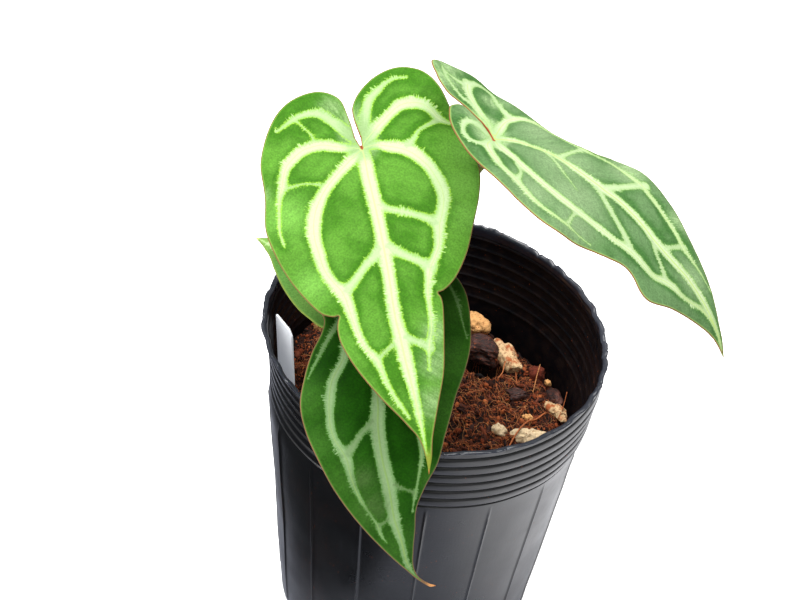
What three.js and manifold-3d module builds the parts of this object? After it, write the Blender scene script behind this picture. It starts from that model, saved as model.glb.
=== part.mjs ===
// Potted anthurium hybrid: four heart-shaped leaves on slender stalks, grown from one short
// crown that is rooted in a coarse coir and bark mix, in a thin ribbed grower's pot.
// Millimetres, +Z up. The origin is the centre of the pot's underside.

import * as THREE from 'three';
import { mergeVertices } from 'three/addons/utils/BufferGeometryUtils.js';
import Module from 'manifold-3d';

const wasm = await Module();
wasm.setup();

const deg = Math.PI / 180;
const clearance = 0.3;

// Pot: a No. 4 grower's pot, 12 cm across its lip.
const potHeight = 132;
const lipRadius = 60;
const wallRadius = 59.1;
const wallTaper = 0.1017;
const wallThickness = 0.9;
const floorThickness = 1.3;
const ribCount = 7;
const ribPitch = 4.2;
const ribDepth = 0.7;
const ridgeCount = 16;
const ridgeAngle = -84.8;
const ridgeHeight = 0.45;
const ovalAmount = 0.021;
const ovalAngle = 127;
const drainHoles = 8;
const drainHoleRadius = 4;
const drainCircle = 30;

// Potting mix: its top slopes down from the left and crowns a little in the middle.
const mixWallLevel = 94;
const mixSlope = -0.085;
const mixCrown = 5;

// Crown: the short stem that carries every leaf.
const crownAt = new THREE.Vector3(-8, 4, 0);
const crownTop = 111;
const crownBottom = 74;
const crownRadius = 6;
const sheathLength = 13;

const bladeThickness = 0.7;
const ribThickness = 1.5;
const stalkRadius = 1.5;

const part = new THREE.Group();

function addPiece(name, geometry, colour, roughness, metalness = 0) {
  const material = new THREE.MeshStandardMaterial({ color: colour, roughness, metalness });
  const piece = new THREE.Mesh(geometry, material);
  piece.name = name;
  part.add(piece);
}

// Solids are joined and cut as merged, closed meshes.
function solidOf(geometry) {
  const plain = geometry.index ? geometry.toNonIndexed() : geometry.clone();
  plain.deleteAttribute('normal');
  plain.deleteAttribute('uv');
  const merged = mergeVertices(plain, 1e-4);
  return new wasm.Manifold(new wasm.Mesh({
    numProp: 3,
    vertProperties: new Float32Array(merged.attributes.position.array),
    triVerts: new Uint32Array(merged.index.array),
  }));
}

function geometryOf(solid) {
  const mesh = solid.getMesh();
  const geometry = new THREE.BufferGeometry();
  geometry.setAttribute('position', new THREE.BufferAttribute(new Float32Array(mesh.vertProperties), 3));
  geometry.setIndex(new THREE.BufferAttribute(new Uint32Array(mesh.triVerts), 1));
  return geometry;
}

// A seeded draw from 0 to 1.
function drawsFrom(seed) {
  let state = seed;
  return () => {
    state = (state * 1664525 + 1013904223) % 4294967296;
    return state / 4294967296;
  };
}

// The soft pot stands a little oval, most at its rim and not at all at its floor.
function ovalAt(angle, z) {
  return 1 + ovalAmount * Math.cos(2 * (angle - ovalAngle * deg)) * z / potHeight;
}

function wallRadiusAt(z) {
  return wallRadius - wallTaper * (potHeight - z);
}

// The inside is smooth: it passes just within the grooves of the outside.
function innerRadiusAt(z) {
  return wallRadiusAt(z) - ribDepth - wallThickness;
}

// Pot

// The outside of the wall from its lowest point up to the lip, as radius and height.
function wallProfile() {
  const profile = [
    [wallRadiusAt(0) - 3.5, 0],
    [wallRadiusAt(0) - 1, 1],
    [wallRadiusAt(4), 4],
    [wallRadiusAt(8), 8],
  ];
  const ribsFrom = potHeight - ribCount * ribPitch;
  profile.push([wallRadiusAt(ribsFrom - 4), ribsFrom - 4]);
  profile.push([wallRadiusAt(ribsFrom - 1), ribsFrom - 1]);
  for (let rib = 0; rib < ribCount; rib += 1) {
    const groove = ribsFrom + rib * ribPitch;
    const crest = groove + ribPitch * 0.55;
    profile.push([wallRadiusAt(groove) - ribDepth, groove]);
    profile.push([wallRadiusAt(crest) + 0.2, crest]);
  }
  profile.push([lipRadius, potHeight - 0.6]);
  return profile;
}

function pot() {
  const outside = wallProfile();
  const rimTop = [lipRadius - 0.5, potHeight];
  const inside = [potHeight - 0.6, potHeight - 7, 66, 4].map((z) => [innerRadiusAt(z), z]);
  const floor = [[innerRadiusAt(floorThickness) - 2, floorThickness]];
  const profile = [[0, 0], ...outside, rimTop, ...inside, ...floor, [0, floorThickness]];
  const columns = ridgeCount * 4;
  const points = profile.map(([r, z]) => new THREE.Vector2(r, z));
  const geometry = new THREE.LatheGeometry(points, columns);
  geometry.rotateX(Math.PI / 2);
  // Three close columns make each upright ridge, and a fourth lies midway to the next.
  const ridgePitch = 360 / ridgeCount;
  const columnOffsets = [0, 0.6, ridgePitch / 2, ridgePitch - 0.6];
  const position = geometry.attributes.position;
  for (let i = 0; i < position.count; i += 1) {
    const column = Math.floor(i / points.length) % columns;
    const row = i % points.length;
    const ridge = Math.floor(column / 4);
    const angle = (ridgeAngle + ridge * ridgePitch + columnOffsets[column % 4]) * deg;
    const z = position.getZ(i);
    let radius = profile[row][0];
    const onWall = row <= outside.length && z >= 8 && z <= potHeight - ribCount * ribPitch - 3;
    if (column % 4 === 0 && onWall) radius += ridgeHeight;
    radius *= ovalAt(angle, z);
    // The thin lip is cut a little unevenly.
    const uneven = 0.5 + 0.3 * Math.sin(5 * angle) + 0.2 * Math.sin(13 * angle + 1);
    const dip = z > potHeight - 1 ? uneven : 0;
    position.setXYZ(i, radius * Math.cos(angle), radius * Math.sin(angle), z - dip);
  }
  let shell = solidOf(geometry);
  for (let hole = 0; hole < drainHoles; hole += 1) {
    const angle = (hole + 0.5) * 2 * Math.PI / drainHoles;
    const drill = new THREE.CylinderGeometry(drainHoleRadius, drainHoleRadius, 8, 12);
    drill.rotateX(Math.PI / 2);
    drill.translate(drainCircle * Math.cos(angle), drainCircle * Math.sin(angle), 0);
    shell = shell.subtract(solidOf(drill));
  }
  return geometryOf(shell);
}

addPiece('pot', pot(), 0x17181b, 0.38);

// Crown: a knobbly upright stem with thick roots that dive into the mix

function crownBody(grow) {
  const profile = [
    [0, crownBottom - grow], [2.5 + grow, crownBottom - grow], [crownRadius - 0.5 + grow, 84],
    [crownRadius + grow, 90], [crownRadius - 1.2 + grow, 93], [crownRadius - 0.4 + grow, 96],
    [crownRadius - 1.6 + grow, 99], [crownRadius - 1 + grow, 102], [crownRadius - 2 + grow, 105],
    [crownRadius - 2.6 + grow, 108], [0, crownTop + grow],
  ];
  const geometry = new THREE.LatheGeometry(profile.map(([r, z]) => new THREE.Vector2(r, z)), 12);
  geometry.rotateX(Math.PI / 2);
  geometry.translate(crownAt.x, crownAt.y, 0);
  return solidOf(geometry);
}

// A round rod along part of a curve. Its radius follows radiusAt, and side lies across the curve.
function rodAlong(curve, side, from, to, steps, sides, radiusAt) {
  const vertices = [];
  const triangles = [];
  for (let i = 0; i <= steps; i += 1) {
    const t = Math.min(1, from + (to - from) * i / steps);
    const centre = curve.getPointAt(t);
    const tangent = curve.getTangentAt(t);
    const across = side.clone().addScaledVector(tangent, -side.dot(tangent)).normalize();
    const third = tangent.clone().cross(across);
    for (let j = 0; j < sides; j += 1) {
      const turn = 2 * Math.PI * j / sides;
      const point = centre.clone()
        .addScaledVector(across, radiusAt(t) * Math.cos(turn))
        .addScaledVector(third, radiusAt(t) * Math.sin(turn));
      vertices.push(point.x, point.y, point.z);
    }
  }
  for (let i = 0; i < steps; i += 1) {
    for (let j = 0; j < sides; j += 1) {
      const a = i * sides + j;
      const b = i * sides + (j + 1) % sides;
      triangles.push(a, b, b + sides, a, b + sides, a + sides);
    }
  }
  const last = steps * sides;
  for (let j = 1; j < sides - 1; j += 1) {
    triangles.push(0, j + 1, j, last, last + j, last + j + 1);
  }
  const geometry = new THREE.BufferGeometry();
  geometry.setAttribute('position', new THREE.Float32BufferAttribute(vertices, 3));
  geometry.setIndex(triangles);
  return geometry;
}

// Each root: its heading round the crown, its reach, and how deep it goes.
const roots = [[20, 22, 58], [95, 26, 66], [165, 20, 50], [235, 24, 62], [310, 28, 70]];

function rootCurve([heading, reach, depth]) {
  const out = new THREE.Vector3(Math.cos(heading * deg), Math.sin(heading * deg), 0);
  const at = (distance, z) => crownAt.clone().addScaledVector(out, distance).setZ(z);
  return new THREE.CatmullRomCurve3([
    at(2, 93), at(crownRadius + 3, 92), at(reach * 0.6, 84), at(reach, depth),
  ]);
}

function crownSolid(grow) {
  let solid = crownBody(grow);
  for (const root of roots) {
    const radiusAt = (t) => 1.9 - 0.7 * t + grow;
    const side = new THREE.Vector3(-Math.sin(root[0] * deg), Math.cos(root[0] * deg), 0);
    solid = solid.add(solidOf(rodAlong(rootCurve(root), side, 0, 1, 7, 6, radiusAt)));
  }
  // Each stalk's base is a sheath that belongs to the crown.
  for (const leaf of Object.values(leaves)) {
    const curve = stalkCurve(leaf);
    const end = sheathLength / curve.getLength();
    const radiusAt = (t) => 3.1 - 0.5 * t / end + grow;
    solid = solid.add(solidOf(rodAlong(curve, stalkSide, 0, end, 3, 8, radiusAt)));
  }
  return solid;
}

// Leaves

// The surface of a blade. u runs across it, to the right as it hangs with its tip down, and v
// runs from the stalk's joint towards the tip, both in millimetres along the blade. The blade
// leaves its joint along heading (round from +X) and dip (below level), is rolled about its
// midrib, arches by droop degrees over its length, and lifts at its lobes, edges and waves.
function bladeSurface(leaf) {
  const heading = leaf.heading * deg;
  const dip = leaf.dip * deg;
  const roll = leaf.roll * deg;
  const along = new THREE.Vector3(
    Math.cos(heading) * Math.cos(dip), Math.sin(heading) * Math.cos(dip), -Math.sin(dip));
  const level = new THREE.Vector3(-Math.sin(heading), Math.cos(heading), 0);
  const upright = new THREE.Vector3().crossVectors(along, level);
  const across = level.clone().multiplyScalar(Math.cos(roll)).addScaledVector(upright, Math.sin(roll));
  const out = upright.clone().multiplyScalar(Math.cos(roll)).addScaledVector(level, -Math.sin(roll));

  const bendAt = (v) => {
    const f = v / leaf.length;
    return v > 0 ? (leaf.droop * f + leaf.tipDroop * f ** 4) * deg : leaf.lobeBend * f * deg;
  };

  // The midrib's run along and out of the blade's own plane, added up in short steps.
  const midribAt = (v) => {
    const steps = Math.max(1, Math.ceil(Math.abs(v) / 2));
    let x = 0;
    let z = 0;
    for (let i = 0; i < steps; i += 1) {
      const bend = bendAt(v * (i + 0.5) / steps);
      x += Math.cos(bend) * v / steps;
      z -= Math.sin(bend) * v / steps;
    }
    return [x, z];
  };

  return (u, v) => {
    const bend = bendAt(v);
    const [x, z] = midribAt(v);
    const twist = leaf.twist * deg * (Math.max(v, 0) / leaf.length) ** 2;
    const side = Math.sign(u);
    const width = Math.abs(u);
    const fold = leaf.fold * deg;
    let rise = width * Math.sin(fold) + leaf.curl * width * width;
    for (const wave of leaf.waves) {
      if (wave.side === side) {
        rise += wave.height * (width / 30) ** 2 * Math.exp(-(((v - wave.at) / wave.span) ** 2));
      }
    }
    rise += leaf.ripple * (width / 30) ** 2 * Math.sin(v * leaf.rippleRate + side);
    // The midrib lies in a shallow groove, and the flesh swells between the side veins.
    const besideRib = 1 - Math.exp(-width / 4);
    const betweenVeins = Math.cos(2 * Math.PI * (v - 0.55 * width) / leaf.veinPitch);
    rise += besideRib * (0.3 + leaf.swell * betweenVeins);
    const bentOut = out.clone().multiplyScalar(Math.cos(bend)).addScaledVector(along, Math.sin(bend));
    const turned = across.clone().multiplyScalar(Math.cos(twist)).addScaledVector(bentOut, Math.sin(twist));
    const facing = bentOut.clone().multiplyScalar(Math.cos(twist)).addScaledVector(across, -Math.sin(twist));
    return leaf.joint.clone()
      .addScaledVector(along, x)
      .addScaledVector(out, z)
      .addScaledVector(turned, side * width * Math.cos(fold))
      .addScaledVector(facing, rise);
  };
}

function normalAt(surface, u, v) {
  const step = 0.4;
  const acrossIt = surface(u + step, v).sub(surface(u - step, v));
  const alongIt = surface(u, v + step).sub(surface(u, v - step));
  return alongIt.cross(acrossIt).normalize();
}

function smoothThrough(points) {
  const flat = points.map(([u, v]) => new THREE.Vector3(u, v, 0));
  return new THREE.CatmullRomCurve3(flat, false, 'centripetal');
}

// One blade: both halves are woven from lines that run from the midrib out to the margin. The
// lines of the lobe all start at the joint. The midrib stands out below as a stout rib.
const linesPerSide = 34;
const lobeShare = 0.4;
const stations = [0, 0.07, 0.24, 0.46, 0.7, 0.88, 1];

function blade(leaf) {
  const surface = bladeSurface(leaf);
  const midrib = smoothThrough(leaf.midrib);
  const flat = [];
  const ribbed = [];
  const lookup = new Map();
  const place = (u, v, station) => {
    const key = `${u.toFixed(3)},${v.toFixed(3)}`;
    if (!lookup.has(key)) {
      lookup.set(key, flat.length);
      flat.push([u, v]);
      ribbed.push(station === 0);
    }
    return lookup.get(key);
  };

  const faces = [];
  for (const side of [-1, 1]) {
    const margin = smoothThrough(side < 0 ? leaf.leftMargin : leaf.rightMargin);
    const rows = [];
    for (let i = 0; i <= linesPerSide; i += 1) {
      const s = i / linesPerSide;
      const start = midrib.getPointAt(Math.max(0, (s - lobeShare) / (1 - lobeShare)) ** 1.15);
      const end = margin.getPointAt(s);
      rows.push(stations.map((f) => {
        const point = start.clone().lerp(end, f);
        return place(point.x, point.y, f);
      }));
    }
    for (let i = 0; i < linesPerSide; i += 1) {
      for (let k = 0; k < stations.length - 1; k += 1) {
        const [a, b, c, d] = [rows[i][k], rows[i][k + 1], rows[i + 1][k + 1], rows[i + 1][k]];
        const pair = side > 0 ? [[a, c, b], [a, d, c]] : [[a, b, c], [a, c, d]];
        for (const face of pair) {
          if (new Set(face).size === 3) faces.push(face);
        }
      }
    }
  }

  // Upper and lower faces share one set of triangles, and a wall closes the margin.
  const vertices = [];
  const count = flat.length;
  const lifts = flat.map(([u, v]) => ({ point: surface(u, v), normal: normalAt(surface, u, v) }));
  for (const { point, normal } of lifts) {
    const top = point.clone().addScaledVector(normal, bladeThickness / 2);
    vertices.push(top.x, top.y, top.z);
  }
  lifts.forEach(({ point, normal }, i) => {
    const along = Math.min(1, Math.max(0, flat[i][1] / leaf.length));
    const depth = ribbed[i] ? ribThickness - (ribThickness - bladeThickness) * along : bladeThickness;
    const under = point.clone().addScaledVector(normal, bladeThickness / 2 - depth);
    vertices.push(under.x, under.y, under.z);
  });
  const triangles = [];
  const edges = new Map();
  for (const [a, b, c] of faces) {
    triangles.push(a, b, c, count + a, count + c, count + b);
    for (const [from, to] of [[a, b], [b, c], [c, a]]) {
      if (!edges.delete(`${to},${from}`)) edges.set(`${from},${to}`, [from, to]);
    }
  }
  for (const [from, to] of edges.values()) {
    triangles.push(from, count + from, count + to, from, count + to, to);
  }
  const geometry = new THREE.BufferGeometry();
  geometry.setAttribute('position', new THREE.Float32BufferAttribute(vertices, 3));
  geometry.setIndex(triangles);
  return geometry;
}

// A stalk rises out of the crown, passes the points given for it and meets its blade square
// from below. Its last stretch is the swollen joint that turns the blade.
const stalkSide = new THREE.Vector3(1, 0, 0);

function stalkCurve(leaf) {
  const surface = bladeSurface(leaf);
  const normal = normalAt(surface, 0, 0.5);
  const below = (depth) => surface(0, 0).addScaledVector(normal, bladeThickness / 2 - ribThickness - depth);
  const points = leaf.stalk.map(([x, y, z]) => new THREE.Vector3(x, y, z));
  points.push(below(clearance + 6), below(clearance));
  return new THREE.CatmullRomCurve3(points, false, 'centripetal');
}

function stalk(leaf) {
  const curve = stalkCurve(leaf);
  const start = (sheathLength + clearance) / curve.getLength();
  const radiusAt = (t) => {
    const base = 0.9 * Math.exp(-(((t - start) / 0.1) ** 2));
    const joint = 0.5 * Math.exp(-(((t - 0.95) / 0.05) ** 2));
    return stalkRadius + base + joint;
  };
  return rodAlong(curve, stalkSide, start, 1, 24, 8, radiusAt);
}

// The margins run from the notch between the lobes, round the lobe, to the tip.
const leaves = {
  front: {
    joint: new THREE.Vector3(-31.1, 1.3, 202),
    heading: -71, dip: 19, roll: 6, length: 110,
    droop: 24, tipDroop: 4, lobeBend: 0, twist: 0, fold: 7, curl: -0.002,
    ripple: 0.8, rippleRate: 0.26, swell: 0.4, veinPitch: 16,
    waves: [
      { side: -1, height: -3, at: 61, span: 7 },
      { side: 1, height: -3, at: 57, span: 7 },
    ],
    midrib: [[0, 0], [0.4, 20], [0.8, 40], [0.6, 65], [1.4, 85], [3, 109]],
    leftMargin: [
      [-1.4, -4], [-2.4, -12], [-4, -19.5], [-9, -22.8], [-15, -22.3], [-22, -18.5], [-28.5, -9.5],
      [-32.8, 2], [-33.8, 15], [-35.2, 26], [-33, 37], [-28, 48], [-22.5, 55], [-18.3, 58.5],
      [-17.6, 64], [-15, 73], [-9, 83.5], [-2, 92.5], [1.6, 98], [2.6, 104], [3, 109],
    ],
    rightMargin: [
      [0.6, -4], [-0.3, -11], [0.2, -16], [3, -20.5], [9, -26], [17, -28.8], [24.5, -26.5],
      [29.4, -19], [32, -9], [34.6, 3], [36, 14], [34, 23.5], [30, 33], [26, 42], [21, 49.5],
      [16.2, 54.5], [15, 61], [14, 70], [12, 79], [9, 89], [6, 98], [4.6, 104], [3, 109],
    ],
    stalk: [[-8, 6, 97], [-8.5, 9, 108], [-9, 12.5, 130], [-14, 13, 160], [-23, 10, 183]],
    colour: 0x4f9e35,
  },
  lower: {
    joint: new THREE.Vector3(-23.8, -32.3, 168),
    heading: -67, dip: 22, roll: 2, length: 99,
    droop: 56, tipDroop: 0, lobeBend: 20, twist: -10, fold: -4, curl: 0,
    ripple: 0.8, rippleRate: 0.3, swell: 0.4, veinPitch: 15,
    waves: [{ side: -1, height: -5, at: 0, span: 12 }],
    midrib: [[0, 0], [-1, 15], [-2.5, 35], [-4, 50], [-2.5, 62], [-0.5, 77], [3, 90], [12, 101]],
    leftMargin: [
      [-1, -4], [-2, -12], [-5, -18.5], [-10, -18.5], [-15, -13], [-16.5, -7], [-15, -1], [-14, 4.5],
      [-16, 9], [-20, 14.5], [-24.5, 22], [-27.5, 31], [-27, 40], [-24.5, 49], [-21, 57],
      [-17, 66], [-12, 74], [-7, 81], [-3, 86], [2, 91], [7, 96.5], [12, 101],
    ],
    rightMargin: [
      [0.6, -4], [1.6, -12], [5, -19], [12, -22], [20, -20], [27, -14], [32, -6], [34, 5],
      [33, 15], [28.5, 28], [23, 37], [18, 47], [14, 56], [9, 63], [6.2, 70], [5, 77],
      [4.6, 84], [5.4, 90], [8.5, 96], [12, 101],
    ],
    stalk: [[-8, 2, 97], [-8.5, -1.5, 108], [-12, -8, 125], [-18, -18, 143]],
    colour: 0x2c6a1f,
  },
  right: {
    joint: new THREE.Vector3(10.1, -9.8, 220),
    heading: -17, dip: 5, roll: -9, length: 101,
    droop: 38, tipDroop: 16, lobeBend: -75, twist: 22, fold: 0, curl: 0,
    ripple: 0.9, rippleRate: 0.28, swell: 0.4, veinPitch: 15,
    waves: [],
    midrib: [
      [0, 0], [4, 6], [6.3, 14], [6.5, 24], [5.5, 33], [3, 44], [0.5, 56], [-0.5, 66], [-2, 80],
      [-3, 92], [-4, 102.5],
    ],
    leftMargin: [
      [2.4, -4.2], [5.2, -9.2], [7.8, -13.4], [8.6, -16.6], [6.5, -18.2], [2, -17.2], [-4, -13.5],
      [-11, -6.5], [-17.5, 2], [-23, 12], [-27, 21], [-30, 30], [-29, 37], [-25.5, 44],
      [-22, 50.5], [-20, 56], [-20.5, 60], [-22.3, 64], [-22, 68.5], [-15, 76.5], [-9, 87],
      [-5, 95], [-4, 102.5],
    ],
    rightMargin: [
      [3.4, -4.6], [6.4, -9], [9.4, -13.2], [12.4, -17.6], [15.6, -22.4], [19, -27.2], [23, -31.4],
      [27, -30], [30.5, -23], [31, -15], [29, -6], [25, 3], [21.5, 11], [19.8, 20], [21, 28],
      [24, 34], [25.3, 41], [24, 48], [20, 57], [13, 68], [6.5, 79], [1, 90], [-3, 99],
      [-4, 102.5],
    ],
    stalk: [[-6, 4, 97], [-2.5, 4, 108], [-1, 8, 130], [2, 13, 165], [5.6, 13, 188], [9.4, 3, 203]],
    colour: 0x6d9a5c,
  },
  back: {
    joint: new THREE.Vector3(-29.8, 0.5, 144),
    heading: 155, dip: -8, roll: 0, length: 46,
    droop: 22, tipDroop: 0, lobeBend: 0, twist: 0, fold: 5, curl: 0,
    ripple: 0.5, rippleRate: 0.4, swell: 0.25, veinPitch: 9,
    waves: [],
    midrib: [[0, 0], [0, 15], [-1, 30], [-3.7, 42]],
    leftMargin: [
      [-0.7, -2], [-1.3, -6], [-4, -9], [-8, -8.5], [-12, -4], [-14, 3], [-14, 12], [-12, 21],
      [-9.5, 29], [-6, 36], [-4.5, 39.5], [-3.7, 42],
    ],
    rightMargin: [
      [0.7, -2], [2, -7], [6, -11.5], [13, -12.5], [20, -9.5], [24, -3], [23.8, 3], [21.5, 9],
      [17, 16], [10, 25], [3, 32], [-0.8, 37], [-2.6, 40], [-3.7, 42],
    ],
    stalk: [[-10, 4, 97], [-14, 4, 108], [-21, 2.5, 119], [-28, 1.5, 130]],
    colour: 0x86b555,
  },
};

for (const [name, leaf] of Object.entries(leaves)) {
  addPiece(`blade_${name}`, blade(leaf), leaf.colour, 0.45);
  addPiece(`stalk_${name}`, stalk(leaf), 0x8a7a45, 0.5);
}
addPiece('crown', geometryOf(crownSolid(0)), 0x6f6a3a, 0.7);

// Stones and chips that lie in the top of the mix

function mixTopAt(x, y) {
  const mound = mixCrown * (1 - (x * x + y * y) / 56 ** 2);
  const clods = 0.7 * Math.sin(0.62 * x + 1.3) * Math.cos(0.55 * y - 0.4);
  const crumbs = 0.5 * Math.sin(0.9 * x - 1.1 * y);
  return mixWallLevel + mixSlope * x + mound + clods + crumbs;
}

// An uneven stone or chip: length, breadth and height, turned about +Z and sunk by its middle.
function lump({ x, y, size, turn, lift, seed, detail }, grow) {
  const geometry = mergeVertices(stripped(new THREE.IcosahedronGeometry(1, detail)), 1e-4);
  const draw = drawsFrom(seed);
  const position = geometry.attributes.position;
  for (let i = 0; i < position.count; i += 1) {
    const uneven = 0.78 + 0.3 * draw();
    position.setXYZ(i, position.getX(i) * uneven, position.getY(i) * uneven, position.getZ(i) * uneven);
  }
  geometry.scale(size[0] / 2 + grow, size[1] / 2 + grow, size[2] / 2 + grow);
  geometry.rotateZ(turn * deg);
  geometry.translate(x, y, mixTopAt(x, y) + lift);
  return solidOf(geometry);
}

function stripped(geometry) {
  geometry.deleteAttribute('normal');
  geometry.deleteAttribute('uv');
  return geometry;
}

const stones = {
  stone_tan: { x: 13.8, y: 44.2, size: [12, 9, 9], turn: -25, lift: 2.5, seed: 11, detail: 1 },
  stone_long: { x: 28.5, y: 31.2, size: [17, 6.6, 7], turn: -50, lift: 2, seed: 23, detail: 1 },
  stone_red: { x: 39, y: 27, size: [6.5, 6, 6], turn: 20, lift: 1.5, seed: 31, detail: 1 },
  stone_pink: { x: 43.6, y: 23, size: [3, 3, 3.2], turn: 0, lift: 0.8, seed: 37, detail: 0 },
  stone_split: { x: 46.8, y: 8.6, size: [12, 5.5, 5], turn: -42, lift: 0.8, seed: 41, detail: 1 },
  stone_brown: { x: 36.6, y: 2.6, size: [4, 3.4, 3], turn: 10, lift: 0.6, seed: 43, detail: 0 },
  stone_white: { x: 27.3, y: -7.8, size: [6, 5, 4.5], turn: -35, lift: 1, seed: 47, detail: 1 },
  stone_cream: { x: 37.4, y: -7.6, size: [12.5, 6.2, 5.5], turn: 5, lift: 1, seed: 53, detail: 1 },
  stone_left: { x: -42, y: 30, size: [5, 4.5, 5], turn: 0, lift: 1.5, seed: 59, detail: 1 },
  stone_rear: { x: -14, y: 45, size: [9, 7, 6], turn: 60, lift: 1.4, seed: 61, detail: 1 },
  stone_near: { x: 6, y: -38, size: [8, 6, 5], turn: 30, lift: 1.2, seed: 67, detail: 1 },
  husk_large: { x: 16.4, y: 32, size: [11, 8.5, 7], turn: -15, lift: 1.5, seed: 71, detail: 1 },
  husk_dark: { x: 46, y: 16.5, size: [8, 5, 4], turn: -60, lift: 0.6, seed: 73, detail: 0 },
  husk_small: { x: 32, y: 12, size: [7, 5, 4], turn: 30, lift: 0.5, seed: 79, detail: 0 },
  husk_left: { x: -32, y: -28, size: [10, 6, 4.5], turn: 70, lift: 0.8, seed: 83, detail: 0 },
  husk_rear: { x: -34, y: 12, size: [9, 7, 5], turn: 10, lift: 0.8, seed: 89, detail: 0 },
};

const stoneColour = {
  stone_tan: 0xd9a366, stone_long: 0xe6cfa2, stone_red: 0x7a3a26, stone_pink: 0xc79c8c,
  stone_split: 0xbfae8a, stone_brown: 0x9c6a3c, stone_white: 0xe9dfc6, stone_cream: 0xd9caa4,
  stone_left: 0xc79a5e, stone_rear: 0xd2b78c, stone_near: 0xcdb58f,
};

for (const [name, stone] of Object.entries(stones)) {
  addPiece(name, geometryOf(lump(stone, 0)), stoneColour[name] ?? 0x3c2118, 0.9);
}

// Plant label: a thin flat stake with a cut corner, pushed into the mix beside the left wall.

const labelWidth = 8;
const labelThickness = 0.8;
const labelLength = 80;
const labelTop = new THREE.Vector3(-55, 2.3, 126);
const labelTurn = -42;
const labelTilt = -5.9;
const labelLean = 1.6;

function label(grow) {
  const w = labelWidth;
  const outline = new THREE.Shape([
    new THREE.Vector2(-grow, grow), new THREE.Vector2(-grow, 10 - labelLength),
    new THREE.Vector2(w / 2, -labelLength - 2 * grow), new THREE.Vector2(w + grow, 10 - labelLength),
    new THREE.Vector2(w + grow, -5.2), new THREE.Vector2(w - 1.4, -2.8 + grow),
  ]);
  const depth = labelThickness + 2 * grow;
  const geometry = new THREE.ExtrudeGeometry(outline, { depth, bevelEnabled: false });
  geometry.translate(0, 0, -depth / 2);
  geometry.rotateX(Math.PI / 2 + labelLean * deg);
  geometry.rotateY(labelTilt * deg);
  geometry.rotateZ(labelTurn * deg);
  geometry.translate(labelTop.x, labelTop.y, labelTop.z);
  return solidOf(geometry);
}

addPiece('plant_label', geometryOf(label(0)), 0xe8eaee, 0.4);

// Potting mix: fills the pot to its uneven top, with a plain hole for all that stands in it.

function pottingMix() {
  const rings = [50, 45, 39, 33, 27, 21, 15, 9, 4];
  const bottom = floorThickness + clearance;
  const fit = clearance + 0.2;
  const profile = [
    [0, bottom], [innerRadiusAt(0) - 4, bottom], [innerRadiusAt(6) - fit, 6],
    [innerRadiusAt(88) - fit, 88],
    ...rings.map((radius) => [radius, 95]), [0, 95],
  ];
  const columns = 44;
  const geometry = new THREE.LatheGeometry(profile.map(([r, z]) => new THREE.Vector2(r, z)), columns);
  geometry.rotateX(Math.PI / 2);
  const position = geometry.attributes.position;
  for (let i = 0; i < position.count; i += 1) {
    const angle = Math.atan2(position.getY(i), position.getX(i));
    const z = position.getZ(i);
    const x = position.getX(i) * ovalAt(angle, z);
    const y = position.getY(i) * ovalAt(angle, z);
    position.setXYZ(i, x, y, z >= 88 ? mixTopAt(x, y) : z);
  }
  let mix = solidOf(geometry).subtract(crownSolid(clearance)).subtract(label(clearance));
  // The husk arches over a small hollow in the mix.
  const hollow = new THREE.SphereGeometry(1, 10, 6);
  hollow.scale(7, 4.5, 4);
  hollow.translate(19.5, 23, mixTopAt(19.5, 23));
  mix = mix.subtract(solidOf(hollow));
  for (const stone of Object.values(stones)) mix = mix.subtract(lump(stone, clearance));
  return geometryOf(mix);
}

addPiece('potting_mix', pottingMix(), 0x5a3018, 0.95);

export default part;
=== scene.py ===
# Potted anthurium hybrid: four velvety, silver-veined leaves on slender stalks, grown from one
# short crown in a coarse coir and bark mix, in a thin ribbed grower's pot. Shapes are worked out
# in millimetres, in the frame of the CAD model, and made in metres.

import math
from itertools import product

import bpy
import numpy as np
from mathutils import Matrix, Vector, geometry


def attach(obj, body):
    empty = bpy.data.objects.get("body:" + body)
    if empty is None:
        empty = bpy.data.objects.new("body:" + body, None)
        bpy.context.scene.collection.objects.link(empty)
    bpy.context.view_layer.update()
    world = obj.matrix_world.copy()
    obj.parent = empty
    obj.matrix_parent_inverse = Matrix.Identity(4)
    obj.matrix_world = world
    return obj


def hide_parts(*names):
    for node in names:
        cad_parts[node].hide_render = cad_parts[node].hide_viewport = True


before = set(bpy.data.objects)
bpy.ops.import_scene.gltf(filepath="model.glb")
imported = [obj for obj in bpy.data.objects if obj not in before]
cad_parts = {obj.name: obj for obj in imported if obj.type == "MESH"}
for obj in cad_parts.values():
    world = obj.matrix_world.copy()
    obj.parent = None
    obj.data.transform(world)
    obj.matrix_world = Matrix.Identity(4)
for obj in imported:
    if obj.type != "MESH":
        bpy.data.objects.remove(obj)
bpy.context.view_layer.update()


# Camera
# It stands in front of the pot and a little above it, tipped down at the leaves and slightly
# turned on its own axis. The picture is 800 by 600.

camera_place = (0, -0.5153, 0.583)
lens_length, sensor_width = 90, 36
yaw, pitch, roll = -0.0256, 0.7077, -0.1188

aim = Vector((math.sin(yaw) * math.cos(pitch), math.cos(yaw) * math.cos(pitch), -math.sin(pitch)))
level = Vector((math.cos(yaw), -math.sin(yaw), 0))
downward = aim.cross(level)
right_of_view = math.cos(roll) * level + math.sin(roll) * downward
top_of_view = math.sin(roll) * level - math.cos(roll) * downward
camera_data = bpy.data.cameras.new("camera")
camera_data.lens = lens_length
camera_data.sensor_width = sensor_width
camera = bpy.data.objects.new("camera", camera_data)
turned = Matrix((right_of_view, top_of_view, -aim)).transposed().to_4x4()
camera.matrix_world = Matrix.Translation(camera_place) @ turned
bpy.context.collection.objects.link(camera)
bpy.context.scene.camera = camera


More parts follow.
